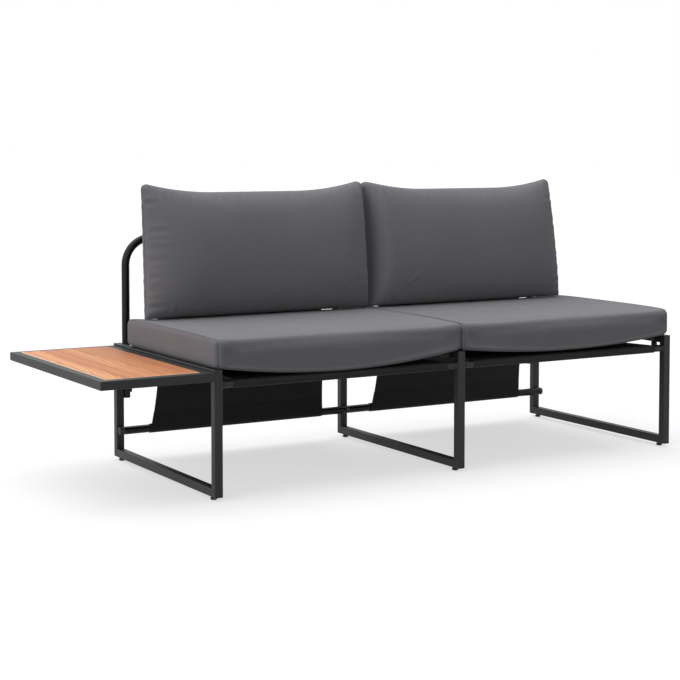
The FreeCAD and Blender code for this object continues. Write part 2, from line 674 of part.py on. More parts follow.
def back_outline(side, depth, inset, dip):
    """Four-sided outline in a plane parallel to the cushion, with dipped or bulged sides.

    Its corners go round from the lower left. The left cushion's are pushed out of square, and its
    lower right one stays clear of the right seat cushion, which has to lift past it.
    """
    sign = -1 if side == "left" else 1
    middle = FRAME_LENGTH / 2 + BACK_SHIFT + sign * (back_width() + BACK_GAP) / 2
    foot_y, foot_z = back_foot()
    up = vec(0, math.sin(RECLINE), math.cos(RECLINE))
    forward = vec(0, -math.cos(RECLINE), math.sin(RECLINE))
    foot_point = vec(middle, foot_y, foot_z)

    def at(x, u):
        return foot_point + X * x + up * u + forward * depth

    half = back_width() / 2 - inset
    low = inset
    high = BACK_HEIGHT - inset
    pushed = BACK_CORNERS[side]
    corners = (at(pushed[0] - half, low), at(pushed[1] + half, low),
               at(pushed[2] + half, high), at(pushed[3] - half, high))
    right = half + (pushed[1] + pushed[2]) / 2
    left = half - (pushed[0] + pushed[3]) / 2
    mids = (at(0, low + BACK_LOW_DIP * dip), at(right - BACK_SIDE_DIP * dip, BACK_HEIGHT / 2),
            at(0, high - BACK_TOP_DIP * dip), at(BACK_SIDE_DIP * dip - left, BACK_HEIGHT / 2))
    return Part.Wire([Part.Arc(corners[turn], mids[turn], corners[(turn + 1) % 4]).toShape() for turn in range(4)])


def back_cushion(side, skin):
    """Knife-edged pillow: two domes that meet at the sewn edge, its corners drawn out to points."""
    halves = []
    for face in (1, -1):
        wires = []
        for depth, inset, dip in back_contours():
            wires.append(back_outline(side, face * depth * (BACK_THICKNESS / 2 - skin), inset + skin, dip))
        halves.append(Part.makeLoft(wires, True, False))
    return halves[0].fuse(halves[1])


def covered(make, side):
    """A cushion's cover, with the room for its filling taken out, and the filling."""
    cover = make(side, 0.0).cut(make(side, COVER))
    return cover, make(side, COVER + FILLING_CLEARANCE)


def main():
    os.makedirs("parts", exist_ok=True)
    for side, x in FRAMES.items():
        save(side + "_leg_frame", leg_frame(x))
    for place, mouth in foot_mouths().items():
        save("foot_" + place, [foot(mouth)])
    save("foot_inserts", [insert(mouth, Z, FOOT_INSERT_LENGTH) for mouth in foot_mouths().values()])

    for side, start in BAY_STARTS.items():
        save("front_rail_" + side, front_rail(start))
    save("rail_bolts", [bolt(mouth, way, PLATE) for mouth, way in rail_mouths()])
    save("rail_inserts", [insert(mouth, way, INSERT_LENGTH) for mouth, way in rail_mouths()])

    save("back_tube", back_tube())
    save("back_centre_post", [centre_post()])
    save("back_tube_plugs", tube_plugs())
    back_grip = 2 * BACK_TUBE_RADIUS + TUBE_TOUCH
    save("back_bolts", [bolt(mouth, way, back_grip) for mouth, way in back_mouths()])
    save("back_inserts", [insert(mouth, way, INSERT_LENGTH) for mouth, way in back_mouths()])

    save("low_rod", [low_rod()])
    save("rod_end_caps", rod_caps())
    rod_grip = 2 * ROD_RADIUS + TUBE_TOUCH
    save("rod_bolts", [bolt(mouth, way, rod_grip) for mouth, way in rod_mouths()])
    save("rod_inserts", [insert(mouth, way, INSERT_LENGTH) for mouth, way in rod_mouths()])

    for side, start in BAY_STARTS.items():
        backing = back_sling(start)
        save("back_sling_" + side, [backing])
        save("seat_sling_" + side, [seat_sling(start, backing)])

    save("table_frame", table_frame())
    for number, (left, width) in enumerate(board_edges(), 1):
        save("table_board_%d" % number, [table_board(left, width)])
    for row, y in batten_rows().items():
        save("table_batten_" + row, [table_batten(y)])
    save("table_screws", table_screws())
    save("table_bolts", [bolt(mouth, way, TUBE) for mouth, way in table_mouths()])
    save("table_inserts", [insert(mouth, way, INSERT_LENGTH) for mouth, way in table_mouths()])

    for side in BAY_STARTS:
        cover, filling = covered(seat_cushion, side)
        tape = seat_zip(side)
        save("seat_cover_" + side, [cover.cut(tape)])
        save("seat_filling_" + side, [filling])
        save("seat_zip_" + side, [tape])
        cover, filling = covered(back_cushion, side)
        save("back_cover_" + side, [cover])
        save("back_filling_" + side, [filling])


main()
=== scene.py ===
# %% [markdown]
# # A garden sofa with a side table
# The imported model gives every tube, bolt and board its place. This notebook loads it, gives the rigid pieces
# their finishes, and makes the soft pieces anew: the mesh slings, the seat cushions and the back cushions.
# Everything is in metres, +Z up, and the front faces -Y.

# %% Load the frame
import json
import math

import bpy
import numpy as np
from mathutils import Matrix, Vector


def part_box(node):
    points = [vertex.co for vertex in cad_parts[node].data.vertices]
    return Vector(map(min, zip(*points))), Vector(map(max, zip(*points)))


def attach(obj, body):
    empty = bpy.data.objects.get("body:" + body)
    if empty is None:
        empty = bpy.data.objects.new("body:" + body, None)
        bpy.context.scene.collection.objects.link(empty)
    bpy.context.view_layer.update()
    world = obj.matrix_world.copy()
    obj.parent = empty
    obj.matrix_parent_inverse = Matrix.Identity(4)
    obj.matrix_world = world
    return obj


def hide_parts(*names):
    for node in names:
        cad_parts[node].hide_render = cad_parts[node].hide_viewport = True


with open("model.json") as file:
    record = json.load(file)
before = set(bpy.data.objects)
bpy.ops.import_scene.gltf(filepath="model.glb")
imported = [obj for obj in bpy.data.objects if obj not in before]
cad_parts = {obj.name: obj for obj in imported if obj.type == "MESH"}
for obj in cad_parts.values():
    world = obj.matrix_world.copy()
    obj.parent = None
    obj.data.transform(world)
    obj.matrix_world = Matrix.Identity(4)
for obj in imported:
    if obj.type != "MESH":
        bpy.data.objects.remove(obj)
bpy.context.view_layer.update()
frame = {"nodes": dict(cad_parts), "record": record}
nodes = frame["nodes"]

# %% [markdown]
# Drawings give lengths in millimetres, from the front left corner of the left leg frame. The model's own origin is
# under its middle, so one helper turns a drawing's point into a place in the scene. Others do what every piece needs:
# select it alone, apply a modifier, or join several pieces into one.

# %% Places and helpers
MM = 0.001
CORNER = Vector((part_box("left_leg_frame")[0].x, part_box("left_leg_frame")[0].y, 0.0))


def place(x, y, z):
    """Point of the drawing, in millimetres, as a place in the scene."""
    return CORNER + Vector((x, y, z)) * MM


def deselect():
    """Leaves nothing selected, so that the next operator acts on its own piece only."""
    if bpy.context.object and bpy.context.object.mode != "OBJECT":
        bpy.ops.object.mode_set(mode="OBJECT")
    bpy.ops.object.select_all(action="DESELECT")


def pick(piece):
    """Selects one piece and makes it the active one."""
    deselect()
    piece.select_set(True)
    bpy.context.view_layer.objects.active = piece


def modify(piece, kind, **settings):
    """Adds a modifier with its settings to a piece and applies it."""
    pick(piece)
    modifier = piece.modifiers.new(kind.lower(), kind)
    for key, value in settings.items():
        setattr(modifier, key, value)
    bpy.ops.object.modifier_apply(modifier=modifier.name)


def repeat(piece, count, pitch):
    """Repeats a piece along x, in millimetres."""
    modify(piece, "ARRAY", count=count, use_relative_offset=False, use_constant_offset=True,
           constant_offset_displace=(pitch * MM, 0, 0))


def join(pieces, name, finish, body):
    """Joins pieces to one with a finish."""
    deselect()
    for piece in pieces:
        piece.select_set(True)
    bpy.context.view_layer.objects.active = pieces[0]
    if len(pieces) > 1:
        bpy.ops.object.join()
    made = bpy.context.object
    made.name = name
    made.data.materials.clear()
    made.data.materials.append(finish)
    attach(made, body)
    print(name, len(made.data.polygons), "faces")
    return made


print("corner of the drawing:", CORNER)

# %% [markdown]
# ## Shader sums
# A finish mixes patterns: threads, grain, specks. Each pattern is a number that varies over the surface, and a small
# class lets such numbers be added and multiplied in plain Python, while it adds the Math nodes behind the scenes.


# %% Shader sums
class Signal:
    """A number that varies over a surface. Sums with it add Math nodes to its finish."""

    def __init__(self, finish, socket):
        self.finish = finish
        self.socket = socket

    def math(self, operation, *terms):
        return self.finish.node("ShaderNodeMath", {"operation": operation}, dict(enumerate(terms)))

    def __add__(self, other):
        return self.math("ADD", self, other)

    def __sub__(self, other):
        return self.math("SUBTRACT", self, other)

    def __rsub__(self, other):
        return self.math("SUBTRACT", other, self)

    def __mul__(self, other):
        return self.math("MULTIPLY", self, other)

    def __pow__(self, other):
        return self.math("POWER", self, other)

    __rmul__ = __mul__

    def sine(self):
        return self.math("SINE", self)

    def size(self):
        return self.math("ABSOLUTE", self)

    def whole(self):
        return self.math("FLOOR", self)

    def within(self, low, high):
        """0 below low, 1 above high, and smooth between."""
        return self.finish.node("ShaderNodeMapRange", {"interpolation_type": "SMOOTHSTEP"},
                                {"Value": self, "From Min": low, "From Max": high})


class Finish:
    """A node material with one Principled surface."""

    def __init__(self, name):
        self.material = bpy.data.materials.new(name)
        self.material.use_nodes = True
        self.tree = self.material.node_tree
        self.surface = self.tree.nodes["Principled BSDF"]

    def node(self, kind, settings=None, sockets=None, output=0):
        """Adds a node, with its settings first and then its sockets, and gives one of its outputs."""
        made = self.tree.nodes.new(kind)
        for key, value in (settings or {}).items():
            if key == "stops":
                for stop, (position, colour) in zip(self.stops(made, len(value)), value):
                    stop.position = position
                    stop.color = (*colour, 1)
            else:
                setattr(made, key, value)
        for key, value in (sockets or {}).items():
            self.feed(made.inputs[key], value)
        return Signal(self, made.outputs[output])

    @staticmethod
    def stops(ramp, count):
        while len(ramp.color_ramp.elements) < count:
            ramp.color_ramp.elements.new(0.5)
        return ramp.color_ramp.elements

    def feed(self, socket, value):
        if isinstance(value, Signal):
            self.tree.links.new(value.socket, socket)
        else:
            socket.default_value = value

    def set(self, **sockets):
        """Feeds the surface. Base_Color stands for Base Color, and so on."""
        for key, value in sockets.items():
            self.feed(self.surface.inputs[key.replace("_", " ")], value)
        return self.material

    def spot(self):
        return self.node("ShaderNodeTexCoord", output="Object")

    def axes(self, vector):
        """The three numbers of a vector."""
        split = self.node("ShaderNodeSeparateXYZ", sockets={0: vector})
        return [Signal(self, socket) for socket in split.socket.node.outputs]

    def noise(self, vector, scale, detail=2.0, roughness=0.5):
        return self.node("ShaderNodeTexNoise", {"noise_dimensions": "3D"},
                         {"Vector": vector, "Scale": scale, "Detail": detail, "Roughness": roughness})

    def stretched(self, vector, scale):
        return self.node("ShaderNodeMapping", sockets={"Vector": vector, "Scale": scale})

    def tint(self, factor, dark, light):
        """Colour between two ends."""
        return self.node("ShaderNodeMix", {"data_type": "RGBA"}, {0: factor, 6: (*dark, 1), 7: (*light, 1)}, output=2)

    def bump(self, height, strength, distance):
        return self.node("ShaderNodeBump", sockets={"Strength": strength, "Distance": distance, "Height": height})


# %% [markdown]
# ## Floor, light and camera
# A pale floor under a white surround. The floor is white to the camera, but sends little light back up, because the
# sofa's fronts are dark beside its tops. One wide soft lamp hangs above and a little behind, a weaker one stands to
# the left, and a faint one in front.

# %% Floor and surround
FLOOR_LIFT = 0.62
SURROUND = 0.29

bpy.ops.mesh.primitive_plane_add(size=60)
floor = bpy.context.object
floor.name = "floor"
paper = Finish("pale floor")
bounce = paper.node("ShaderNodeBsdfDiffuse", sockets={"Color": (0.2, 0.2, 0.2, 1)})
shown = paper.node("ShaderNodeBsdfDiffuse", sockets={"Color": (0.4, 0.4, 0.4, 1)})
lift = paper.node("ShaderNodeEmission", sockets={"Color": (1, 1, 1, 1), "Strength": FLOOR_LIFT})
lit = paper.node("ShaderNodeAddShader", sockets={0: shown, 1: lift})
rays = paper.node("ShaderNodeLightPath").socket.node.outputs
seen = Signal(paper, rays["Is Camera Ray"]) + Signal(paper, rays["Is Glossy Ray"]) \
    + Signal(paper, rays["Is Transmission Ray"])
sheet_of_paper = paper.node("ShaderNodeMixShader", sockets={0: seen.within(0.0, 1.0), 1: bounce, 2: lit})
paper.tree.links.new(sheet_of_paper.socket, paper.tree.nodes["Material Output"].inputs["Surface"])
floor.data.materials.append(paper.material)

world = bpy.data.worlds.new("white surround")
bpy.context.scene.world = world
world.use_nodes = True
tree = world.node_tree
path = tree.nodes.new("ShaderNodeLightPath")
shade = tree.nodes["Background"]
shade.inputs["Color"].default_value = (1, 1, 1, 1)
total = path.outputs["Is Camera Ray"]
for other in ("Is Glossy Ray", "Is Transmission Ray"):
    adder = tree.nodes.new("ShaderNodeMath")
    adder.use_clamp = True
    tree.links.new(total, adder.inputs[0])
    tree.links.new(path.outputs[other], adder.inputs[1])
    total = adder.outputs[0]
level = tree.nodes.new("ShaderNodeMapRange")
level.inputs["To Min"].default_value = SURROUND
level.inputs["To Max"].default_value = 1.0
tree.links.new(total, level.inputs["Value"])
tree.links.new(level.outputs[0], shade.inputs["Strength"])

bpy.context.scene.view_settings.view_transform = "Standard"
print("floor at", floor.location.z)

# %% Lamps
def lamp(name, way, spread, strength):
    """Far lamp that shines along a direction, as soft as it is wide."""
    bpy.ops.object.light_add(type="SUN", location=(0, 0, 5))
    made = bpy.context.object
    made.name = name
    made.data.angle = math.radians(spread)
    made.data.energy = strength
    made.rotation_euler = Vector(way).to_track_quat("-Z", "Y").to_euler()
    print(name, "along", way)
    return made


lamp("lamp_above", (0.1, -0.3, -1.0), 75, 2.42).data.color = (0.98, 0.97, 1.0)
lamp("lamp_left", (1.0, 0.25, -0.35), 55, 0.94).data.color = (0.86, 0.92, 1.0)
lamp("lamp_front", (0.6, 1.0, -0.3), 80, 0.22)

# %% [markdown]
# The photograph's uprights are nearly parallel, so its camera looked almost level and its picture was cut from the
# lower part of a larger one. A small downward shift and a slight tilt give that view.

# %% Camera
CAMERA_TILT = math.radians(-3.2496)
CAMERA_TURN = math.radians(30.4339)
bpy.ops.object.camera_add(location=(-2.08452, -3.48338, 0.78606),
                          rotation=(math.pi / 2 + CAMERA_TILT, 0, -CAMERA_TURN))
camera = bpy.context.object
camera.data.lens = 85.915
camera.data.sensor_width = 36.0
camera.data.shift_y = -0.15
bpy.context.scene.camera = camera
print("camera at", camera.location)

# %% [markdown]
# ## Powder-coated steel
# The square tubes are coated with a matt anthracite powder. Close to, such a coat has a fine leathery ripple and a
# little cloudiness. A small noise gives the ripple as bump, and a larger one varies the shine. The round tubes look
# darker and smoother, so their coat is a black one made the same way.

# %% Powder coat
RIPPLE_SCALE = 1400.0
CLOUD_SCALE = 9.0


def coated(name, dark, light, roughness, ripple_bump, shine):
    """Powder coat: a fine ripple as bump, and a broad cloud that varies tone and roughness."""
    coat = Finish(name)
    spot = coat.spot()
    ripple = coat.noise(spot, RIPPLE_SCALE, 2.0)
    cloud = coat.noise(spot, CLOUD_SCALE, 3.0)
    return coat.set(
        Base_Color=coat.tint(cloud.within(0.3, 0.7), dark, light),
        Roughness=cloud * roughness[1] + roughness[0],
        Normal=coat.bump(ripple, *ripple_bump),
        Specular_IOR_Level=shine,
    )


powder_coat = coated("anthracite powder coat", (0.0085, 0.0087, 0.0095), (0.012, 0.0122, 0.0132),
                     (0.42, 0.12), (0.22, 0.0004), 0.36)
tube_coat = coated("black tube coat", (0.0045, 0.0046, 0.005), (0.0075, 0.0077, 0.0084),
                   (0.3, 0.1), (0.12, 0.0003), 0.24)
print("coats:", powder_coat.name, "and", tube_coat.name)

# %% Other metals and plastics
black = Finish("black bolt coat")
worn = black.noise(black.spot(), 700.0, 3.0)
bolt_black = black.set(
    Base_Color=black.tint(worn.within(0.55, 0.75), (0.012, 0.012, 0.013), (0.03, 0.03, 0.032)),
    Roughness=worn * 0.15 + 0.3,
    Normal=black.bump(worn, 0.1, 0.0003),
)

plastic = Finish("moulded black plastic")
grain = plastic.noise(plastic.spot(), 2200.0, 1.0)
black_plastic = plastic.set(
    Base_Color=plastic.tint(grain, (0.012, 0.012, 0.0125), (0.019, 0.019, 0.02)),
    Roughness=grain * 0.1 + 0.5,
    Normal=plastic.bump(grain, 0.25, 0.0003),
)

zinc = Finish("zinc plate")
crystals = zinc.noise(zinc.spot(), 900.0, 4.0)
zinc_plate = zinc.set(
    Base_Color=zinc.tint(crystals, (0.42, 0.43, 0.44), (0.62, 0.63, 0.63)),
    Metallic=1.0,
    Roughness=crystals * 0.2 + 0.28,
)

FINISHES = {
    "frame_coat": powder_coat,
    "black_bolts": bolt_black,
    "black_plastic": black_plastic,
    "zinc_steel": zinc_plate,
}


def dress(node, finish):
    """Gives a piece of the frame its finish."""
    piece = nodes[node]
    piece.data.materials.clear()
    piece.data.materials.append(finish)


for part in frame["record"]["subparts"]:
    if part["material_slot"] in FINISHES:
        dress(part["node"], FINISHES[part["material_slot"]])
for node in ("back_tube", "back_centre_post", "low_rod"):
    dress(node, tube_coat)

# %% [markdown]
# ## Oiled boards
# The table's boards are an orange-brown hardwood with their grain along the depth. Each board was cut from another
# place, so its tone and its figure differ. Grain is noise drawn out along the board, and pores are short dark dashes.
# The outer edges of the boards get a painted highlight, a pale band as if their bevels caught the light.

# %% Oiled wood
BOARDS = ["table_board_%d" % number for number in range(1, 6)]
BOARD_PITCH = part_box(BOARDS[1])[0].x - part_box(BOARDS[0])[0].x
BOARD_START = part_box(BOARDS[0])[0].x - 0.0003
BOARD_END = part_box(BOARDS[-1])[1].x
BOARD_FRONT, BOARD_REAR = (corner.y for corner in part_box(BOARDS[0]))
# Painted highlight: a pale band at the outer edges of the boards, full up to 1.2 mm in and gone by 3.2 mm.
PAINTED_RIM_BAND = (0.0012, 0.0032)
GRAIN_STOPS = [(0.0, (0.3, 0.095, 0.03)), (0.35, (0.5, 0.182, 0.062)),
               (0.7, (0.69, 0.292, 0.112)), (1.0, (0.88, 0.45, 0.2))]
PORE_SHADE = (0.45, 0.36, 0.3, 1)
# Colour of the painted edge highlight.
PAINTED_RIM_HIGHLIGHT = (0.9, 0.6, 0.38, 1)

wood = Finish("oiled hardwood")
spot = wood.spot()
across, along, up = wood.axes(spot)
number = ((across - BOARD_START) * (1 / BOARD_PITCH)).whole()
luck = wood.node("ShaderNodeTexWhiteNoise", {"noise_dimensions": "1D"}, {"W": number + 7.3})
shifted = wood.node("ShaderNodeCombineXYZ", sockets={0: across, 1: along + number * 3.7, 2: up})
bend = wood.noise(wood.stretched(shifted, (14, 3.2, 14)), 1.0, 2.0)
figure = wood.noise(wood.stretched(shifted, (70, 2.2, 70)), 1.0, 5.0, 0.62)
rings = ((across * 900.0 + bend * 46.0).sine() * 0.5 + 0.5) * 0.35 + figure * 0.65
pores = wood.noise(wood.stretched(shifted, (1500, 60, 1500)), 1.0, 1.0).within(0.62, 0.72)
tone = (rings * 0.8 + luck * 0.32 - 0.06).within(0.12, 0.92)
grain_colour = wood.node("ShaderNodeValToRGB", {"stops": GRAIN_STOPS}, {0: tone})
with_pores = wood.node("ShaderNodeMix", {"data_type": "RGBA", "blend_type": "MULTIPLY"},
                       {0: pores * 0.45, 6: grain_colour, 7: PORE_SHADE}, output=2)
# Painted highlight: inside is 0 at the outer edges of the boards and 1 past the band, and the edges are tinted pale.
inside = 1.0
for gap in (across - BOARD_START, BOARD_END - across, along - BOARD_FRONT, BOARD_REAR - along):
    inside = inside * gap.within(*PAINTED_RIM_BAND)
oiled_wood = wood.set(
    Base_Color=wood.node("ShaderNodeMix", {"data_type": "RGBA"},
                         {0: (1 - inside) * 0.7, 6: with_pores, 7: PAINTED_RIM_HIGHLIGHT}, output=2),
    Roughness=0.62 - figure * 0.2,
    Normal=wood.bump(rings * 0.4 - pores, 0.35, 0.0004),
    Specular_IOR_Level=0.3,
)
for board in BOARDS:
    dress(board, oiled_wood)
print("boards:", len(BOARDS), "at a pitch of %.1f mm" % (BOARD_PITCH / MM))

# %% [markdown]
# ## Cloth
# The cushion covers are a plain-woven outdoor cloth in a mid grey. Threads are too fine to see from the camera, but
# they break up the light, and yarns differ a little in shade. The pattern reads a map in metres that each panel
# carries, so threads run along the panel and turn with it at a seam.

# %% Woven cloth
COVER_THREADS = 1150.0
TAPE_THREADS = 1600.0


def woven(name, dark, light, threads):
    """Plain weave: two sets of threads that cross over and under, so many to the metre."""
    cloth = Finish(name)
    flat = cloth.node("ShaderNodeUVMap", {"uv_map": "cloth"})
    warp, weft, _ = cloth.axes(flat)
    turn = math.pi * threads
    over = (warp * turn).sine() * (weft * turn).sine()
    round_warp = 1 - (warp * (turn * 2)).sine().size() * 0.5
    yarn_across = cloth.noise(cloth.stretched(flat, (threads * 0.9, 45, 1)), 1.0, 2.0)
    yarn_along = cloth.noise(cloth.stretched(flat, (45, threads * 0.9, 1)), 1.0, 2.0)
    slub = yarn_across * 0.5 + yarn_along * 0.5
    broad = cloth.noise(cloth.spot(), 7.0, 2.0)
    # Painted shade: the cloth is darkened along the seams, as if the sewn groove lay in shade; the seam attribute says
    # how much.
    seam = cloth.node("ShaderNodeAttribute", {"attribute_name": "seam"}, output=2) ** 4.0
    shade = slub.within(0.3, 0.7) * 0.3 + over * 0.1 + broad * 0.3 + 0.2 - seam * 0.3
    return cloth.set(
        Base_Color=cloth.tint(shade.within(-0.4, 1.05), dark, light),
        Roughness=0.94 - slub * 0.12,
        Normal=cloth.bump(over * 0.5 + round_warp * 0.3 + slub, 0.3, 0.0005),
        Specular_IOR_Level=0.22,
        Sheen_Weight=0.12,
        Sheen_Roughness=0.6,
    )


cover_cloth = woven("mid grey cover cloth", (0.108, 0.107, 0.114), (0.202, 0.200, 0.212), COVER_THREADS)
zip_cloth = woven("zip tape", (0.07, 0.07, 0.073), (0.13, 0.13, 0.135), TAPE_THREADS)
print("cloths:", cover_cloth.name, "and", zip_cloth.name)


# %% Cloth meshes
CLOTH_MASS = 0.3
CLOTH_QUALITY = 6
CLOTH_TENSION = 25.0


def lengths_along(line):
    """How far each point of a line lies from its start."""
    return np.concatenate([[0.0], np.cumsum(np.linalg.norm(np.diff(line, axis=0), axis=1))])


def quad(row, column):
    """Corners of one square of a net, as rows and columns."""
    return [(row, column), (row, column + 1), (row + 1, column + 1), (row + 1, column)]


def store(piece, name, values):
    """Stores a number at each point of a piece."""
    layer = piece.data.attributes.new(name, "FLOAT", "POINT")
    layer.data.foreach_set("value", np.asarray(values, np.float32))


def cloth_piece(name, points, faces, flat):
    """Mesh with a map in metres: flat gives each corner of each face its place on the cut cloth."""
    mesh = bpy.data.meshes.new(name)
    mesh.from_pydata([tuple(point) for point in points], [], faces)
    layer = mesh.uv_layers.new(name="cloth")
    layer.data.foreach_set("uv", np.asarray(flat, np.float32).ravel())
    mesh.update()
    piece = bpy.data.objects.new(name, mesh)
    bpy.context.scene.collection.objects.link(piece)
    return piece


def points_of(piece):
    found = np.empty(len(piece.data.vertices) * 3, np.float32)
    piece.data.vertices.foreach_get("co", found)
    return found.reshape(-1, 3).astype(float)


def put_points(piece, points):
    piece.data.vertices.foreach_set("co", np.asarray(points, np.float32).ravel())
    piece.data.update()


def fill(piece, pressure, frames, pinned, reach, bending):
    """Blows a sewn cover up with cloth physics, from its pinned seams, and caps how far any point moves."""
    before = points_of(piece)
    pick(piece)
    modifier = piece.modifiers.new("filling", "CLOTH")
    cloth = modifier.settings
    cloth.quality = CLOTH_QUALITY
    cloth.mass = CLOTH_MASS
    cloth.tension_stiffness = CLOTH_TENSION
    cloth.compression_stiffness = CLOTH_TENSION
    cloth.shear_stiffness = CLOTH_TENSION / 3
    cloth.bending_stiffness = bending
    cloth.use_pressure = True
    cloth.uniform_pressure_force = pressure
    cloth.effector_weights.gravity = 0
    group = piece.vertex_groups.new(name="sewn")
    group.add([int(index) for index in pinned], 1.0, "REPLACE")
    cloth.vertex_group_mass = "sewn"
    modifier.collision_settings.use_collision = False
    modifier.collision_settings.use_self_collision = False
    modifier.point_cache.frame_start = 1
    modifier.point_cache.frame_end = frames
    scene = bpy.context.scene
    for step in range(1, frames + 1):
        scene.frame_set(step)
    bpy.ops.object.modifier_apply(modifier=modifier.name)
    scene.frame_set(1)
    piece.vertex_groups.clear()
    moved = points_of(piece) - before
    length = np.linalg.norm(moved, axis=1, keepdims=True)
    put_points(piece, before + moved * np.minimum(1.0, reach / np.maximum(length, 1e-9)))
    print(piece.name, "filled, largest move %.1f mm" % (length.max() / MM))


def finish_cloth(piece, finish, levels=1):
    """Smooth and finer surface for a cloth piece."""
    pick(piece)
    if levels:
        modify(piece, "SUBSURF", levels=levels, render_levels=levels)
    bpy.ops.object.shade_smooth()
    piece.data.materials.clear()
    piece.data.materials.append(finish)


# %% [markdown]
# ## Mesh slings
# Each bay has two slings of black coated mesh. The back sling is sewn round the back tube, comes down to a crease
# behind the seat and goes on to the low rod. The seat sling is sewn round the front rail and runs back to that crease.
# At a tube the cloth goes right round and comes back along its own rear, where it is stitched down, so it lies double
# there. A sling is therefore one strip that follows a line in the side view.

# %% Sling lines
SLING = 1.5
SLING_PRESSED = 0.3
LAYER_GAP = SLING * 0.95
TUNNELS = {"top": (567.0, 555.0, 10.95), "rod": (546.9, 75.0, 10.95), "front": (10.0, 258.5, 8.95)}
BAYS = {"left": (20.0, 650.0), "right": (670.0, 1300.0)}
CREASE = (505.0, 260.0)


def touch(point, tunnel, side):
    """Where a line from a point touches the cloth round a tube."""
    way = np.array(tunnel[:2]) - point
    span = np.linalg.norm(way)
    angle = math.atan2(way[1], way[0]) + side * math.asin(tunnel[2] / span)
    reach = math.sqrt(span ** 2 - tunnel[2] ** 2)
    return np.array(point) + reach * np.array((math.cos(angle), math.sin(angle)))


def loop(point, tunnel, side, sewn, hem):
    """Line from a point to a tube, round it, and back along the rear of the first line to the end of the hem."""
    centre = np.array(tunnel[:2])
    first = touch(point, tunnel, side)
    along = (np.array(point) - first) / np.linalg.norm(np.array(point) - first)
    behind = np.array((-along[1], along[0])) * LAYER_GAP
    if np.dot(behind, centre - first) < 0:
        behind = -behind
    joined = first + along * sewn + behind
    last = touch(joined, tunnel, -side)
    start = math.atan2(*(first - centre)[::-1])
    turn = (math.atan2(*(last - centre)[::-1]) - start) * side
    turn = -side * ((-turn) % (2 * math.pi))
    angles = start + np.linspace(0.0, turn, 26)
    ring = centre + tunnel[2] * np.column_stack([np.cos(angles), np.sin(angles)])
    steps = np.linspace(0.0, 1.0, 9)[1:, None]
    back = last + (joined - last) * steps
    tail = joined + along * (hem - sewn) * steps
    return first, np.concatenate([ring, back, tail]), along, -behind / LAYER_GAP


def strip(name, line, margins, bay, double, columns=48):
    """Cloth along a line in the side view, with its own margin to the bay's ends at each point."""
    points, faces, flat, layers = [], [], [], []
    run = lengths_along(line)
    for (y, z), margin, two in zip(line, margins, double):
        for x in np.linspace(bay[0] + margin, bay[1] - margin, columns + 1):
            points.append(place(x, y, z))
            layers.append(two)
    for row in range(len(line) - 1):
        for column in range(columns):
            faces.append(tuple(r * (columns + 1) + c for r, c in quad(row, column)))
            flat += [(points[r * (columns + 1) + c].x, run[r] * MM) for r, c in quad(row, column)]
    piece = cloth_piece(name, points, faces, flat)
    store(piece, "layers", layers)
    modify(piece, "SOLIDIFY", thickness=(SLING - SLING_PRESSED) * MM, offset=0.0)
    bpy.ops.object.shade_smooth_by_angle(angle=math.radians(40))
    piece.data.materials.append(sling_mesh)
    widths = bay[1] - bay[0] - 2 * np.asarray(margins)
    area = float(np.sum((widths[1:] + widths[:-1]) / 2 * np.diff(run))) * MM * MM
    return piece, (float(widths.max()) * MM, float(run[-1]) * MM), area


# %% [markdown]
# The mesh is woven from coated yarns, two by two, with small gaps. From the camera it is plain black, a shade lighter
# where only one layer lies in front of the light.

# %% Coated mesh
MESH_YARNS = 620.0
mesh = Finish("black coated mesh")
flat = mesh.node("ShaderNodeUVMap", {"uv_map": "cloth"})
warp, weft, _ = mesh.axes(flat)
turn = math.pi * MESH_YARNS
ribs = (warp * turn).sine().size() * 0.6 + (weft * turn).sine().size() * 0.6
gap = ((warp * turn).sine().size() + (weft * turn).sine().size()).within(0.62, 0.3)
two = mesh.node("ShaderNodeAttribute", {"attribute_name": "layers"}, output=2)
uneven = mesh.noise(flat, 40.0, 3.0)
sling_mesh = mesh.set(
    Base_Color=mesh.tint((1 - gap * 0.6) * (1 - two * 0.5) * (uneven * 0.5 + 0.7), (0.002, 0.002, 0.002),
                         (0.036, 0.036, 0.037)),
    Roughness=uneven * 0.15 + 0.6,
    Normal=mesh.bump(ribs - gap, 0.4, 0.0006),
    Specular_IOR_Level=0.18,
)
print("mesh:", sling_mesh.name)


# %% Hang the slings
def part_line(a, b, count):
    return np.array(a) + (np.array(b) - np.array(a)) * np.linspace(0.0, 1.0, count)[:, None]


def edge_margin(line, start, end, hollow, near, far):
    """Margin at each point, by how far it lies along the straight part from one tube to the crease."""
    way = np.array(end) - start
    part = np.clip(((line - start) @ way) / (way @ way), 0.0, 1.0)
    return near + (far - near) * part + hollow * 4 * part * (1 - part)


MARGINS = {"front": 30.0, "crease": 80.0, "top": 78.0, "rod": 70.0}
HEMS = {"top": 50.0, "rod": 45.0, "front": 45.0}
SEWN = {"top": 26.0, "rod": 14.0, "front": 22.0}
TURNS = {"top": 1, "rod": -1, "front": -1}
HOLLOWS = {"top": 3.0, "rod": 4.0, "front": 6.0}
BACK_SHIFT = 7.0
CREASE_GAP = 1.2
LOOPS = {end: loop(CREASE, TUNNELS[end], TURNS[end], SEWN[end], HEMS[end]) for end in TUNNELS}
TOP_FIRST, TOP_LOOP = LOOPS["top"][:2]
ROD_FIRST, ROD_LOOP = LOOPS["rod"][:2]
FRONT_FIRST, FRONT_LOOP = LOOPS["front"][:2]


def end_margins(line, end):
    """Margins of the part of a sling between one tube and the crease."""
    return edge_margin(line, LOOPS[end][0], CREASE, HOLLOWS[end], MARGINS[end], MARGINS["crease"])


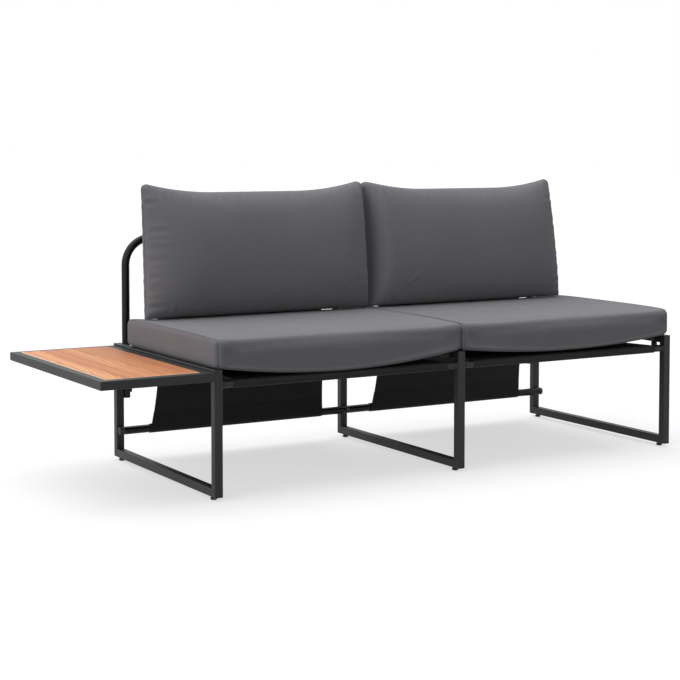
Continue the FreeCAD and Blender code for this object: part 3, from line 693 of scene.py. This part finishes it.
def in_hem(line, end):
    """Which points of a line lie double, in the hem at one tube."""
    return np.linalg.norm(line - LOOPS[end][0], axis=1) < HEMS[end]


def hang(kind, side, line, margins, bay, double):
    """Makes a sling in place of its node and says what holds it."""
    piece, cut, area = strip("%s_sling_cloth_%s" % (kind, side), line, margins, bay, double.astype(float))
    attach(piece, "frame")
    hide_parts("%s_sling_%s" % (kind, side))
    print(piece.name, "cut", [round(x, 3) for x in cut])


for side, bay in BAYS.items():
    upper = np.concatenate([TOP_LOOP[::-1], part_line(TOP_FIRST, CREASE, 40)[1:]])
    lower = np.concatenate([part_line(CREASE, ROD_FIRST, 32)[1:-1], ROD_LOOP])
    margins = np.concatenate([end_margins(upper, "top"), end_margins(lower, "rod")])
    line = np.concatenate([upper, lower])
    double = in_hem(line, "top") | in_hem(line, "rod")
    wider_bay = (bay[0] - BACK_SHIFT, bay[1])
    hang("back", side, line, margins, wider_bay, double)

    line = np.concatenate([FRONT_LOOP[::-1], part_line(FRONT_FIRST, np.array(CREASE) - (CREASE_GAP, 0.0), 50)[1:]])
    hang("seat", side, line, end_margins(line, "front"), bay, in_hem(line, "front"))

# %% [markdown]
# Two rows of stitches hold down each hem. One stitch is a short rounded bar, laid in a row by an array, and the rows
# of a bay become one piece.

# %% Stitches
STITCH_LENGTH = 3.4
STITCH_PITCH = 4.6
STITCH_RADIUS = 0.4
STITCH_ROWS = (3.0, 8.0)
STITCH_END = 6.0

thread = Finish("black thread")
fuzz = thread.noise(thread.spot(), 3000.0, 1.0)
black_thread = thread.set(Base_Color=thread.tint(fuzz, (0.012, 0.012, 0.012), (0.035, 0.035, 0.036)), Roughness=0.7)


def stitch_row(start, end, y, z):
    """Row of stitches along x, in millimetres of the drawing."""
    deselect()
    bpy.ops.mesh.primitive_cylinder_add(vertices=6, radius=STITCH_RADIUS * MM, depth=STITCH_LENGTH * MM,
                                        location=(0, 0, 0), rotation=(0, math.pi / 2, 0))
    row = bpy.context.object
    row.location = place(start + STITCH_PITCH / 2, y, z)
    bpy.ops.object.transform_apply(location=True, rotation=True, scale=True)
    repeat(row, int((end - start) / STITCH_PITCH), STITCH_PITCH)
    return row


for side, bay in BAYS.items():
    rows = []
    for end in ("top", "rod", "front"):
        first, _, way, out = LOOPS[end]
        inset = MARGINS[end] + STITCH_END
        for back in STITCH_ROWS:
            spot = first + way * (HEMS[end] - back) + out * SLING / 2
            rows.append(stitch_row(bay[0] + inset, bay[1] - inset, *spot))
    join(rows, "sling_stitches_" + side, black_thread, "frame")

# %% [markdown]
# ## Seat cushions
# A seat cushion is one long panel that wraps over the top, down the front, under and up the rear, closed at each end
# by a panel of its own. The seams run round the two ends. The cover is drawn near its finished shape and then filled,
# which rounds it a little more.

# %% Seat cushion shape
FRAME_TOP = 293.0
SLING_TOP = 268.2
REST = 0.3
SEAT_BASE = FRAME_TOP + REST
SEAT_SAG = FRAME_TOP - SLING_TOP
SEAT_TOP = SEAT_BASE + 69.5
SEAT_CROWN = 3.0
LOW_CORNER = 12.0
TOP_CORNER = {"middle": 40.0, "end": 14.0}
SEAT_FRONT = -6.0
SEAT_REAR = 507.4
SEAT_SPANS = {"left": (3.5, 659.5), "right": (660.5, 1316.5)}
SEAM_INSET = 3.5
END_ROUND = 18.0
SEAM_DROP, SEAM_REACH = 3.0, 24.0
TOP_CORNER_REACH = 70.0
END_DRAWN = {"outer": 8.0, "inner": 4.0}
BASE_DRAWN, BASE_REACH = 7.0, 14.0
FACE_SHARE, FACE_REACH = 0.55, 26.0
SEAT_COLUMNS = 84
ROUND_STEPS = 8
SIDE_STEPS = 5
FLAT_STEPS = 62
AROUND = 2 * FLAT_STEPS + 2 * SIDE_STEPS + 4 * ROUND_STEPS
SAG_SHARES = {"left": 1.0, "right": 0.75}


def seat_sag(x, side):
    """How far the base hangs between the leg frames, from 0 to 1."""
    span = SEAT_SPANS[side]
    part = (min(x - span[0], span[1] - x) - END_ROUND) / ((span[1] - span[0]) / 2 - END_ROUND)
    return SAG_SHARES[side] * (1 - (1 - max(0.0, part)) ** 2)


def seat_ring(front, rear, low, high, top_corner):
    """Points round a cushion: along the base to the rear, up it, forward over the top and down the front."""
    points = []

    def arc(y, z, radius, start):
        for step in range(ROUND_STEPS):
            angle = start + math.pi / 2 * step / ROUND_STEPS
            points.append((y + radius * math.cos(angle), z + radius * math.sin(angle)))

    def line(a, b, steps, lift=0.0):
        for step in range(steps):
            part = step / steps
            rise = lift * (1 - (2 * part - 1) ** 4)
            points.append((a[0] + (b[0] - a[0]) * part, a[1] + (b[1] - a[1]) * part + rise))

    line((front + LOW_CORNER, low), (rear - LOW_CORNER, low), FLAT_STEPS)
    arc(rear - LOW_CORNER, low + LOW_CORNER, LOW_CORNER, -math.pi / 2)
    line((rear, low + LOW_CORNER), (rear, high - top_corner), SIDE_STEPS)
    arc(rear - top_corner, high - top_corner, top_corner, 0.0)
    line((rear - top_corner, high), (front + top_corner, high), FLAT_STEPS, SEAT_CROWN)
    arc(front + top_corner, high - top_corner, top_corner, math.pi / 2)
    line((front, high - top_corner), (front, low + LOW_CORNER), SIDE_STEPS)
    arc(front + LOW_CORNER, low + LOW_CORNER, LOW_CORNER, math.pi)
    return np.array(points)


def seat_stations(side):
    """Rings of the long panel, from one end seam to the other."""
    span = SEAT_SPANS[side]
    rings = []
    for x in np.linspace(span[0] + SEAM_INSET, span[1] - SEAM_INSET, SEAT_COLUMNS + 1):
        near = min(x - span[0], span[1] - x) - SEAM_INSET
        sewn_in = max(0.0, 1 - near / SEAM_REACH) ** 2
        turn = max(0.0, 1 - near / END_ROUND)
        drawn = END_DRAWN["inner" if (x > sum(span) / 2) == (side == "left") else "outer"] * turn ** 2
        sag = seat_sag(x, side)
        end_share = max(0.0, 1 - near / TOP_CORNER_REACH) ** 1.6
        top_corner = TOP_CORNER["middle"] + (TOP_CORNER["end"] - TOP_CORNER["middle"]) * end_share
        ring = seat_ring(SEAT_FRONT + 1.5 + 1.5 * sag + drawn, SEAT_REAR + 4 * (1 - sag) - 2 - drawn,
                         SEAT_BASE + 0.2 - SEAT_SAG * sag, SEAT_TOP - SEAM_DROP * sewn_in, top_corner)
        depth, height = ring.T
        upright = np.clip(1 - np.minimum(depth - depth.min(), depth.max() - depth) / FACE_REACH, 0.0, 1.0)
        under = np.clip(1 - (height - height.min()) / BASE_REACH, 0.0, 1.0) ** 2
        inward = (FACE_SHARE * drawn * upright + BASE_DRAWN * turn * under) * (1 if x < sum(span) / 2 else -1)
        rings.append(np.column_stack([x + inward, ring]))
    return rings


def seat_base():
    """Points of the long panel that lie on the frame and the sling."""
    half = ROUND_STEPS // 2
    around = [step % AROUND for step in range(-half, FLAT_STEPS + half + 1)]
    return np.array([column * AROUND + step for column in range(SEAT_COLUMNS + 1) for step in around])


# %% [markdown]
# An end panel is a net between its four sides: base, rear, top and front. Each point is drawn from the sides across
# from it, so the net's rim has the same points as the long panel's seam, and the two are sewn point to point.

# %% Sew a seat cover
def end_net(ring, end):
    """Net over an end that bulges out to x = end: indices of the rim's points where it meets them, and new points."""
    half = ROUND_STEPS // 2
    corner = AROUND - half
    wide = FLAT_STEPS + ROUND_STEPS
    tall = SIDE_STEPS + ROUND_STEPS
    base = [(corner + step) % AROUND for step in range(wide + 1)]
    rear = [(corner + wide + step) % AROUND for step in range(tall + 1)]
    top = [(corner + 2 * wide + tall - step) % AROUND for step in range(wide + 1)]
    front = [(corner + 2 * wide + 2 * tall - step) % AROUND for step in range(tall + 1)]
    inside = []
    net = np.zeros((tall + 1, wide + 1), int)
    for row in range(tall + 1):
        for column in range(wide + 1):
            if row in (0, tall) or column in (0, wide):
                net[row, column] = (base if row == 0 else top)[column] if row in (0, tall) \
                    else (front if column == 0 else rear)[row]
                continue
            u, v = column / wide, row / tall
            point = (1 - v) * ring[base[column]] + v * ring[top[column]] + (1 - u) * ring[front[row]] \
                + u * ring[rear[row]] - (1 - u) * (1 - v) * ring[base[0]] - u * (1 - v) * ring[base[-1]] \
                - u * v * ring[top[-1]] - (1 - u) * v * ring[top[0]]
            gap = min(u, 1 - u) * (SEAT_REAR - SEAT_FRONT)
            out = (1 - max(0.0, 1 - gap / END_ROUND) ** 2) * (1 - abs(2 * v - 1) ** 4)
            point[0] += (end - point[0]) * out * 0.9
            net[row, column] = -1 - len(inside)
            inside.append(point)
    return net, np.array(inside)


def seat_cover(side):
    """Sewn cover of a seat cushion: one long panel and two end panels."""
    rings = seat_stations(side)
    points = np.concatenate(rings)
    middle = rings[SEAT_COLUMNS // 2]
    run = lengths_along(np.vstack([middle, middle[:1]]))
    faces, flat = [], []
    for column in range(SEAT_COLUMNS):
        for step in range(AROUND):
            a, b = column * AROUND, (column + 1) * AROUND
            after = (step + 1) % AROUND
            faces.append((a + step, b + step, b + after, a + after))
            x0, x1 = points[a][0], points[b][0]
            flat += [(x0, run[step]), (x1, run[step]), (x1, run[step + 1]), (x0, run[step + 1])]
    seams = (np.arange(AROUND), SEAT_COLUMNS * AROUND + np.arange(AROUND))
    for seam, outward, end in zip(seams, (-1, 1), SEAT_SPANS[side]):
        net, inside = end_net(points[seam], end)
        first = len(points)
        points = np.concatenate([points, inside])
        net = np.where(net >= 0, seam[np.maximum(net, 0)], first - 1 - net)
        for row in range(net.shape[0] - 1):
            for column in range(net.shape[1] - 1):
                face = [int(net[spot]) for spot in quad(row, column)]
                face = face if outward > 0 else face[::-1]
                faces.append(tuple(face))
                flat += [(points[index][1] + 3000 * outward, points[index][2]) for index in face]
    piece = cloth_piece("seat_cushion_" + side, [place(*point) for point in points], faces, np.array(flat) * MM)
    return piece, np.concatenate(seams)


# %% [markdown]
# After filling, the base may not sink into the leg frames or the sling, so points that went too low come back up,
# and the rear stays in front of the back sling. The right cushion's inner rear corner is drawn in, because the left
# back cushion hangs over it there and the seat has to lift past. The cloth along the seams is marked for a painted
# shade, as if the sewn groove lay in shade: the finish darkens it there, faintly at the front.

# %% Fill the seat cushions
SLING_LEAN = 0.1705
REAR_FROM = 285.0
REAR_GAP = 3.2
CORNER_ROOM = 8.0
CORNER_ROOM_FROM = 388.0
CORNER_ROOM_RUN = 35.0
CORNER_ROOM_REACH = 90.0
SEAT_FILLING = {"pressure": 2.5, "frames": 18, "reach": 0.004, "bending": 5.0}
seats, seat_seams = {}, {}


def settle_seat(piece, side):
    """Keeps a filled seat cushion on its frame and in front of the sling."""
    span = SEAT_SPANS[side]
    points = (points_of(piece) - np.array(CORNER)) / MM
    floor_line = np.array([SEAT_BASE - SEAT_SAG * seat_sag(x, side) for x in points[:, 0]])
    points[:, 2] = np.maximum(points[:, 2], floor_line)
    rear_line = CREASE[0] + (np.maximum(points[:, 2], REAR_FROM) - CREASE[1]) * SLING_LEAN - REAR_GAP
    from_end = np.minimum(points[:, 0] - span[0], span[1] - points[:, 0])
    inner = np.clip((from_end - MARGINS["crease"]) / 15.0, 0.0, 1.0)
    points[:, 1] = np.minimum(points[:, 1], rear_line + (1 - inner) * 6.0)
    points[:, 0] = np.clip(points[:, 0], span[0] - REST, span[1] + REST)
    points[:, 1] = np.maximum(points[:, 1], SEAT_FRONT)
    if side == "right":
        part = np.clip((points[:, 1] - CORNER_ROOM_FROM) / CORNER_ROOM_RUN, 0.0, 1.0)
        beside = np.clip(1 - (points[:, 0] - span[0]) / CORNER_ROOM_REACH, 0.0, 1.0)
        points[:, 0] += CORNER_ROOM * part ** 2 * (3 - 2 * part) * beside
    put_points(piece, points * MM + np.array(CORNER))


for side in ("left", "right"):
    piece, sewn = seat_cover(side)
    fill(piece, pinned=np.concatenate([sewn, seat_base()]), **SEAT_FILLING)
    settle_seat(piece, side)
    points = points_of(piece)
    # Painted seam shade: how strongly the finish darkens the cloth along the end seams, faint at the front.
    share = np.zeros(len(points))
    share[sewn] = np.clip((points[sewn, 1] - points[:, 1].min()) / 0.05, 0.15, 1.0)
    store(piece, "seam", share)
    finish_cloth(piece, cover_cloth)
    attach(piece, "seat_cushion_" + side)
    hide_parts("seat_cover_" + side, "seat_filling_" + side)
    seats[side], seat_seams[side] = piece, sewn
    print(piece.name, "from", points.min(0).round(4), "to", points.max(0).round(4))

# %% [markdown]
# ## Back cushions
# A back cushion is two panels sewn edge to edge and stuffed. Stuffing draws the edges in between the corners, and the
# cloth, which is cut longer than the drawn-in edge, puckers along it. So the seam is drawn as it lies on the finished
# cushion, the panels are rounded out to near its thickness, the filling pushes them taut, and the puckers are added
# as small ridges.

# %% Back cushion shape
BACK_COLUMNS = 130
BACK_ROWS = 66
BACK_WIDTH = 640.0
BACK_THICKNESS = 150.0
BACK_HEIGHT = 337.0
RECLINE = math.atan(SLING_LEAN)
BACK_FOOT = (446.0, 359.5)
BACK_CORNERS = {
    "left": ((27.0, 0.0), (664.0, 0.0), (677.0, BACK_HEIGHT), (43.0, BACK_HEIGHT)),
    "right": ((666.0, 0.0), (1302.0, 0.0), (1303.0, BACK_HEIGHT), (680.0, BACK_HEIGHT)),
}
BACK_SIDE_DIPS = {"left": (6.0, 13.0), "right": (7.0, 6.0)}
BACK_TOP_DIP = 22.5
BACK_NUB = 16.0
BACK_DIP_REACH = 185.0
BACK_TUCK = {"left": 20.0, "right": -34.0}
BACK_TUCK_REACH = 45.0
BACK_FLANKS = {
    "left": (((150.0, 1.0),), ((90.0, 1.0),)),
    "right": (((28.0, 0.75), (190.0, 0.25)), ((170.0, 1.0),)),
}
BACK_CORNER_ROUND = (20.0, 16.0)
BACK_START = 0.47 * BACK_THICKNESS
BACK_MAP = (0.65, 0.36)
BACK_FIRM = {"left": 60.0, "right": 90.0}
BACK_PRESSED = 3.0
BACK_FLATTEN = 6.0
BACK_FILLING = {"pressure": 4.0, "frames": 20, "reach": 0.010, "bending": 4.0}
BACK_CLEAR = 0.0018
SEAT_EDGE = 0.018
STAND_BELOW = 385.0
ABOVE_SEATS = 0.6
PUCKER = 2.8
PUCKER_PITCHES = (18.0, 23.0, 35.0)
PUCKER_HEIGHT = 330.0
PUCKER_SHARES = {"left": (1.0, 0.4), "right": (0.1, 0.8)}


def back_plan(s, t, side):
    """Place in the cushion's own plane, for parts s across and t up, inside its drawn-in edges."""
    a, b, c, d = (np.array(corner) for corner in BACK_CORNERS[side])
    wide, tall = (b - a)[0], BACK_HEIGHT
    across = max(0.0, 1 - min(s, 1 - s) * wide / BACK_CORNER_ROUND[0])
    up = max(0.0, 1 - (1 - t) * tall / BACK_CORNER_ROUND[1])
    inset = np.array((np.sign(0.5 - s) * across * (1 - math.sqrt(1 - up ** 2 / 2)),
                      -up * (1 - math.sqrt(1 - across ** 2 / 2)))) * BACK_CORNER_ROUND
    beyond = min(1.0, max(0.0, (min(s, 1 - s) * wide - BACK_NUB) / BACK_DIP_REACH))
    hollow_s, hollow_t = 1 - (1 - beyond) ** 2, 4 * t * (1 - t)
    plain = (1 - s) * (1 - t) * a + s * (1 - t) * b + s * t * c + (1 - s) * t * d
    first, last = BACK_SIDE_DIPS[side]
    pull = np.array(((first * (1 - s) - last * s) * hollow_t ** 0.8, -BACK_TOP_DIP * t ** 3 * hollow_s))
    return plain + pull + inset


def swell(gap, reach):
    """Rise of a stuffed panel from its seam, near to a quarter of an ellipse, from 0 at the seam to 1 at its reach."""
    return (1 - max(0.0, 1 - gap / reach) ** 2.2) ** (1 / 2.2)


def flank(gap, curves):
    """Rise beside an upright seam, from one or more swells and their shares: a steep one and a long gentle one."""
    return math.prod(swell(gap, reach) ** share for reach, share in curves)


def back_tuck(s, t, side):
    """How far the seam stands forward where the two cushions meet: the left one lies before the right one."""
    near = (s if side == "right" else 1 - s) * BACK_WIDTH
    return BACK_TUCK[side] * max(0.0, 1 - near / BACK_TUCK_REACH) ** 2 * min(1.0, 0.3 + 2.8 * t * (1 - t))


def back_cover(side):
    """Two panels that share their edge, already rounded out to about the finished thickness."""
    columns, rows = BACK_COLUMNS, BACK_ROWS
    first, last = BACK_FLANKS[side]
    points, where, index, faces, flat = [], [], {}, [], []
    across, up = (u - 0.3 * np.sin(2 * math.pi * u) / (2 * math.pi)
                  for u in (np.linspace(0, 1, columns + 1), np.linspace(0, 1, rows + 1)))
    for face in (1, -1):
        for row, t in enumerate(up):
            for column, s in enumerate(across):
                if face < 0 and (row in (0, rows) or column in (0, columns)):
                    index[face, row, column] = index[1, row, column]
                    continue
                full = flank(s * BACK_WIDTH, first) * flank((1 - s) * BACK_WIDTH, last) \
                    * math.sqrt(max(0.0, 1 - abs(2 * t ** 0.9 - 1) ** 2.2))
                x, y = back_plan(s, t, side)
                index[face, row, column] = len(points)
                where.append((s, t, face))
                points.append(np.array((x, y, face * BACK_START * full + back_tuck(s, t, side))) * MM)
        for row in range(rows):
            for column in range(columns):
                net = quad(row, column) if face > 0 else quad(row, column)[::-1]
                faces.append(tuple(index[face, r, c] for r, c in net))
                flat += [(BACK_MAP[0] * across[c] + face, BACK_MAP[1] * up[r]) for r, c in net]
    rim = [index[1, r, 0] for r in range(rows)] + [index[1, rows, c] for c in range(columns)] \
        + [index[1, r, columns] for r in range(rows, 0, -1)] + [index[1, 0, c] for c in range(columns, 0, -1)]
    return cloth_piece("back_cushion_" + side, points, faces, flat), rim, np.array(where)


def puckers(where, side):
    """Small ridges that run in from the seams, where the drawn-in edge has gathered the cloth."""
    s, t, face = where.T
    luck = np.random.default_rng(11 if side == "left" else 23)
    first, last = PUCKER_SHARES[side]
    rise = np.zeros(len(s))
    wide, tall = s * BACK_WIDTH, t * PUCKER_HEIGHT
    for run, gap, share in ((wide, PUCKER_HEIGHT - tall, 1.0), (tall, wide, first),
                            (tall, BACK_WIDTH - wide, last), (wide, tall, 0.5)):
        ridges = sum(luck.uniform(0.4, 1.0) * np.sin(run * 2 * math.pi / pitch + luck.uniform(0, 6.28) + face)
                     for pitch in PUCKER_PITCHES)
        reach = 10.0 + 4.0 * np.sin(run / 31.0 + luck.uniform(0, 6.28))
        rise += PUCKER * share * ridges / 2 * gap / reach * np.exp(1 - gap / reach)
    return rise * face


# %% [markdown]
# Where the two cushions press against each other they keep the shape that they are sewn to. The filled cushion leans on
# the sling, so its rear is flattened a little, and it stands on the seat, so its lower edge is squashed flat there.

# %% Fill the back cushions
def lay_back(piece, ridges):
    """Brings the filled cushion to its thickness, and lays it against the sling and on the seat."""
    points = points_of(piece) / MM
    thick = points[:, 2].max() - points[:, 2].min()
    print(piece.name, "filled to %.0f mm" % thick)
    points[:, 2] = points[:, 2] * BACK_THICKNESS / thick + ridges
    pressed = -BACK_THICKNESS / 2 + BACK_PRESSED + BACK_FLATTEN
    behind = points[:, 2] < pressed
    points[behind, 2] = pressed - BACK_FLATTEN * np.tanh((pressed - points[behind, 2]) / BACK_FLATTEN)
    up = np.array((0, math.sin(RECLINE), math.cos(RECLINE)))
    forward = np.array((0, -math.cos(RECLINE), math.sin(RECLINE)))
    laid = np.outer(points[:, 0], (1, 0, 0)) + np.outer(points[:, 1], up) + np.outer(points[:, 2], forward)
    laid += np.array((0, *BACK_FOOT))
    put_points(piece, laid * MM + np.array(CORNER))
    stand(piece)


def stand(piece):
    """Squashes what would sink into the seat cushions flat on top of them, also beside their rounded ends."""
    points = points_of(piece)
    down = Vector((0, 0, -1))
    for number in np.nonzero(points[:, 2] < STAND_BELOW * MM)[0]:
        x, y, z = points[number]
        for seat in seats.values():
            for shift in (-SEAT_EDGE, 0.0, SEAT_EDGE):
                hit, spot, _, _ = seat.ray_cast(Vector((x + shift, y, ABOVE_SEATS)), down)
                if hit:
                    z = max(z, spot.z + BACK_CLEAR)
        points[number][2] = z
    put_points(piece, points)


backs, back_rims = {}, {}
for side in ("left", "right"):
    piece, rim, where = back_cover(side)
    inner = where[:, 0] if side == "right" else 1 - where[:, 0]
    firm = np.nonzero(inner * BACK_WIDTH < BACK_FIRM[side])[0]
    fill(piece, pinned=np.union1d(rim, firm), **BACK_FILLING)
    lay_back(piece, puckers(where, side))
    # Painted seam shade: the finish darkens the cloth all along the rim seam.
    share = np.zeros(len(piece.data.vertices))
    share[rim] = 1.0
    store(piece, "seam", share)
    finish_cloth(piece, cover_cloth)
    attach(piece, "back_cushion_" + side)
    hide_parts("back_cover_" + side, "back_filling_" + side)
    backs[side], back_rims[side] = piece, rim
    points = points_of(piece)
    print(piece.name, "from", points.min(0).round(4), "to", points.max(0).round(4))

# %% [markdown]
# ## Sewn edges
# Where two panels are sewn together, the turned-in cloth makes a thin firm edge. It is drawn as a fine rib along the
# seam, and left out below, where the cushion lies on something.

# %% Ribs along the seams
BACK_RIB = 1.3
SEAT_RIB = 0.9
RIB_SIDES = 6
BACK_RIB_END = 4
SEAT_RIB_END = 3


def rib(name, line, radius, body):
    """Thin round rib along a line of points, closed at both ends."""
    line = np.asarray(line)
    along = np.gradient(line, axis=0)
    along /= np.linalg.norm(along, axis=1, keepdims=True)
    side = np.cross(along, (0.3, 0.9, 0.2))
    side /= np.linalg.norm(side, axis=1, keepdims=True)
    third = np.cross(along, side)
    turns = np.linspace(0, 2 * math.pi, RIB_SIDES + 1)[:-1]
    points = [spot + radius * (math.cos(turn) * one + math.sin(turn) * two)
              for spot, one, two in zip(line, side, third) for turn in turns]
    run = lengths_along(line)
    faces, flat = [], []
    for step in range(len(line) - 1):
        for turn in range(RIB_SIDES):
            faces.append(tuple(row * RIB_SIDES + column % RIB_SIDES for row, column in quad(step, turn)))
            flat += [(column * radius, run[row]) for row, column in quad(step, turn)]
    for ring in (range(RIB_SIDES - 1, -1, -1), range(len(points) - RIB_SIDES, len(points))):
        faces.append(tuple(ring))
        flat += [(0.0, 0.0)] * RIB_SIDES
    piece = cloth_piece(name, points, faces, flat)
    finish_cloth(piece, cover_cloth, levels=0)
    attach(piece, body)
    print(name, len(faces), "faces")


for side, piece in backs.items():
    line = points_of(piece)[back_rims[side][BACK_RIB_END:2 * BACK_ROWS + BACK_COLUMNS - BACK_RIB_END]]
    rib("back_cushion_rib_" + side, line, BACK_RIB * MM, "back_cushion_" + side)
for side, piece in seats.items():
    for number, end in enumerate(("left", "right")):
        ring = seat_seams[side][number * AROUND:(number + 1) * AROUND]
        line = points_of(piece)[ring[FLAT_STEPS + ROUND_STEPS:-SEAT_RIB_END]]
        rib("seat_cushion_rib_%s_%s" % (side, end), line, SEAT_RIB * MM, "seat_cushion_" + side)

# %% [markdown]
# ## Zips
# The rear of each seat cover opens with a zip, so that the filling can come out. Its tape is a narrow woven strip that
# lies on the cover, its teeth are two rows of small blocks that lock between each other, and a slider runs on them.
# The teeth are one block, bevelled and repeated by an array, and the whole zip is laid on the cover's rear afterwards.

# %% Zip tapes and teeth
ZIP_BOX = {side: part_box("seat_zip_" + side) for side in seats}
BEHIND = 0.5
TAPE_COLUMNS, TAPE_ROWS = 52, 4
TAPE_THICKNESS = 0.0006
TAPE_HALF = 0.011
TAPE_PAST = 0.006
TOOTH_PITCH = 3.0
TOOTH = (0.0013, 0.0012, 0.0034)
TOOTH_SHIFT = 0.0008
SLIDER = (0.011, 0.0024, 0.0085)
SLIDER_FROM_END = 0.006
PULL = (0.0045, 0.001, 0.02)


def rear_of(side, x, z):
    """Where the rear of a seat cushion lies."""
    return seats[side].ray_cast(Vector((x, BEHIND, z)), Vector((0, -1, 0)))[1].y


def lay_on_rear(piece, side, level):
    """Moves a piece that was made at y = 0 on to the rear of the seat cushion."""
    points = points_of(piece)
    points[:, 1] += [rear_of(side, x, level) for x in points[:, 0]]
    put_points(piece, points)


def block(size, spot, bevel):
    """Block with its edges taken off."""
    deselect()
    bpy.ops.mesh.primitive_cube_add(size=1, location=spot)
    made = bpy.context.object
    made.scale = size
    bpy.ops.object.transform_apply(location=True, rotation=True, scale=True)
    bpy.ops.object.mode_set(mode="EDIT")
    bpy.ops.mesh.select_all(action="SELECT")
    bpy.ops.mesh.bevel(offset=bevel, segments=1, affect="EDGES")
    bpy.ops.object.mode_set(mode="OBJECT")
    return made


for side, (low, high) in ZIP_BOX.items():
    body = "seat_cushion_" + side
    level = (low.z + high.z) / 2
    spots = [(x, z) for z in np.linspace(level - TAPE_HALF, level + TAPE_HALF, TAPE_ROWS + 1)
             for x in np.linspace(low.x - TAPE_PAST, high.x + TAPE_PAST, TAPE_COLUMNS + 1)]
    points = [Vector((x, rear_of(side, x, z) + TAPE_THICKNESS / 2, z)) for x, z in spots]
    nets = [[r * (TAPE_COLUMNS + 1) + c for r, c in quad(row, column)[::-1]]
            for row in range(TAPE_ROWS) for column in range(TAPE_COLUMNS)]
    tape = cloth_piece("seat_zip_tape_" + side, points, nets, [spots[i] for net in nets for i in net])
    modify(tape, "SOLIDIFY", thickness=TAPE_THICKNESS, offset=0.0)
    finish_cloth(tape, zip_cloth, levels=0)
    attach(tape, body)
    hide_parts("seat_zip_" + side)

    rows_of_teeth = []
    for shift, lift in ((0.0, TOOTH_SHIFT), (TOOTH_PITCH / 2, -TOOTH_SHIFT)):
        tooth = block(TOOTH, (low.x + shift * MM, TAPE_THICKNESS, level + lift), 0.0002)
        repeat(tooth, int((high.x - low.x) / (TOOTH_PITCH * MM)), TOOTH_PITCH)
        rows_of_teeth.append(tooth)
    teeth = join(rows_of_teeth, "seat_zip_teeth_" + side, black_plastic, body)
    lay_on_rear(teeth, side, level)

    slider = block(SLIDER, (low.x + SLIDER_FROM_END, 0.0011, level), 0.0009)
    pull = block(PULL, (low.x + SLIDER_FROM_END, 0.0016, level - 0.012), 0.0004)
    slider = join([slider, pull], "seat_zip_slider_" + side, zinc_plate, body)
    lay_on_rear(slider, side, level)

# %% [markdown]
# ## Welds
# The front rails are welded to their end plates. A bead shows as a low uneven ring where the rail meets the plate, so a
# ring is added there and its points are moved a little at random, each bead with a seed of its own.

# %% Weld beads
PLATE = 4.0
RAIL = TUNNELS["front"][:2]
BEAD_RADIUS = 1.3
BEAD_RING = 8.5
BEAD_UNEVEN = 0.00025
beads = []
for side, bay in BAYS.items():
    for x in (bay[0] + PLATE + 0.6, bay[1] - PLATE - 0.6):
        deselect()
        bpy.ops.mesh.primitive_torus_add(major_radius=BEAD_RING * MM, minor_radius=BEAD_RADIUS * MM,
                                         major_segments=40, minor_segments=8, location=place(x, *RAIL),
                                         rotation=(0, math.pi / 2, 0))
        bead = bpy.context.object
        bpy.ops.object.transform_apply(location=True, rotation=True, scale=True)
        bpy.ops.object.mode_set(mode="EDIT")
        bpy.ops.mesh.select_all(action="SELECT")
        bpy.ops.transform.vertex_random(offset=BEAD_UNEVEN, seed=len(beads) + 1)
        bpy.ops.object.mode_set(mode="OBJECT")
        beads.append(bead)
welds = join(beads, "rail_welds", powder_coat, "frame")
pick(welds)
bpy.ops.object.shade_smooth()
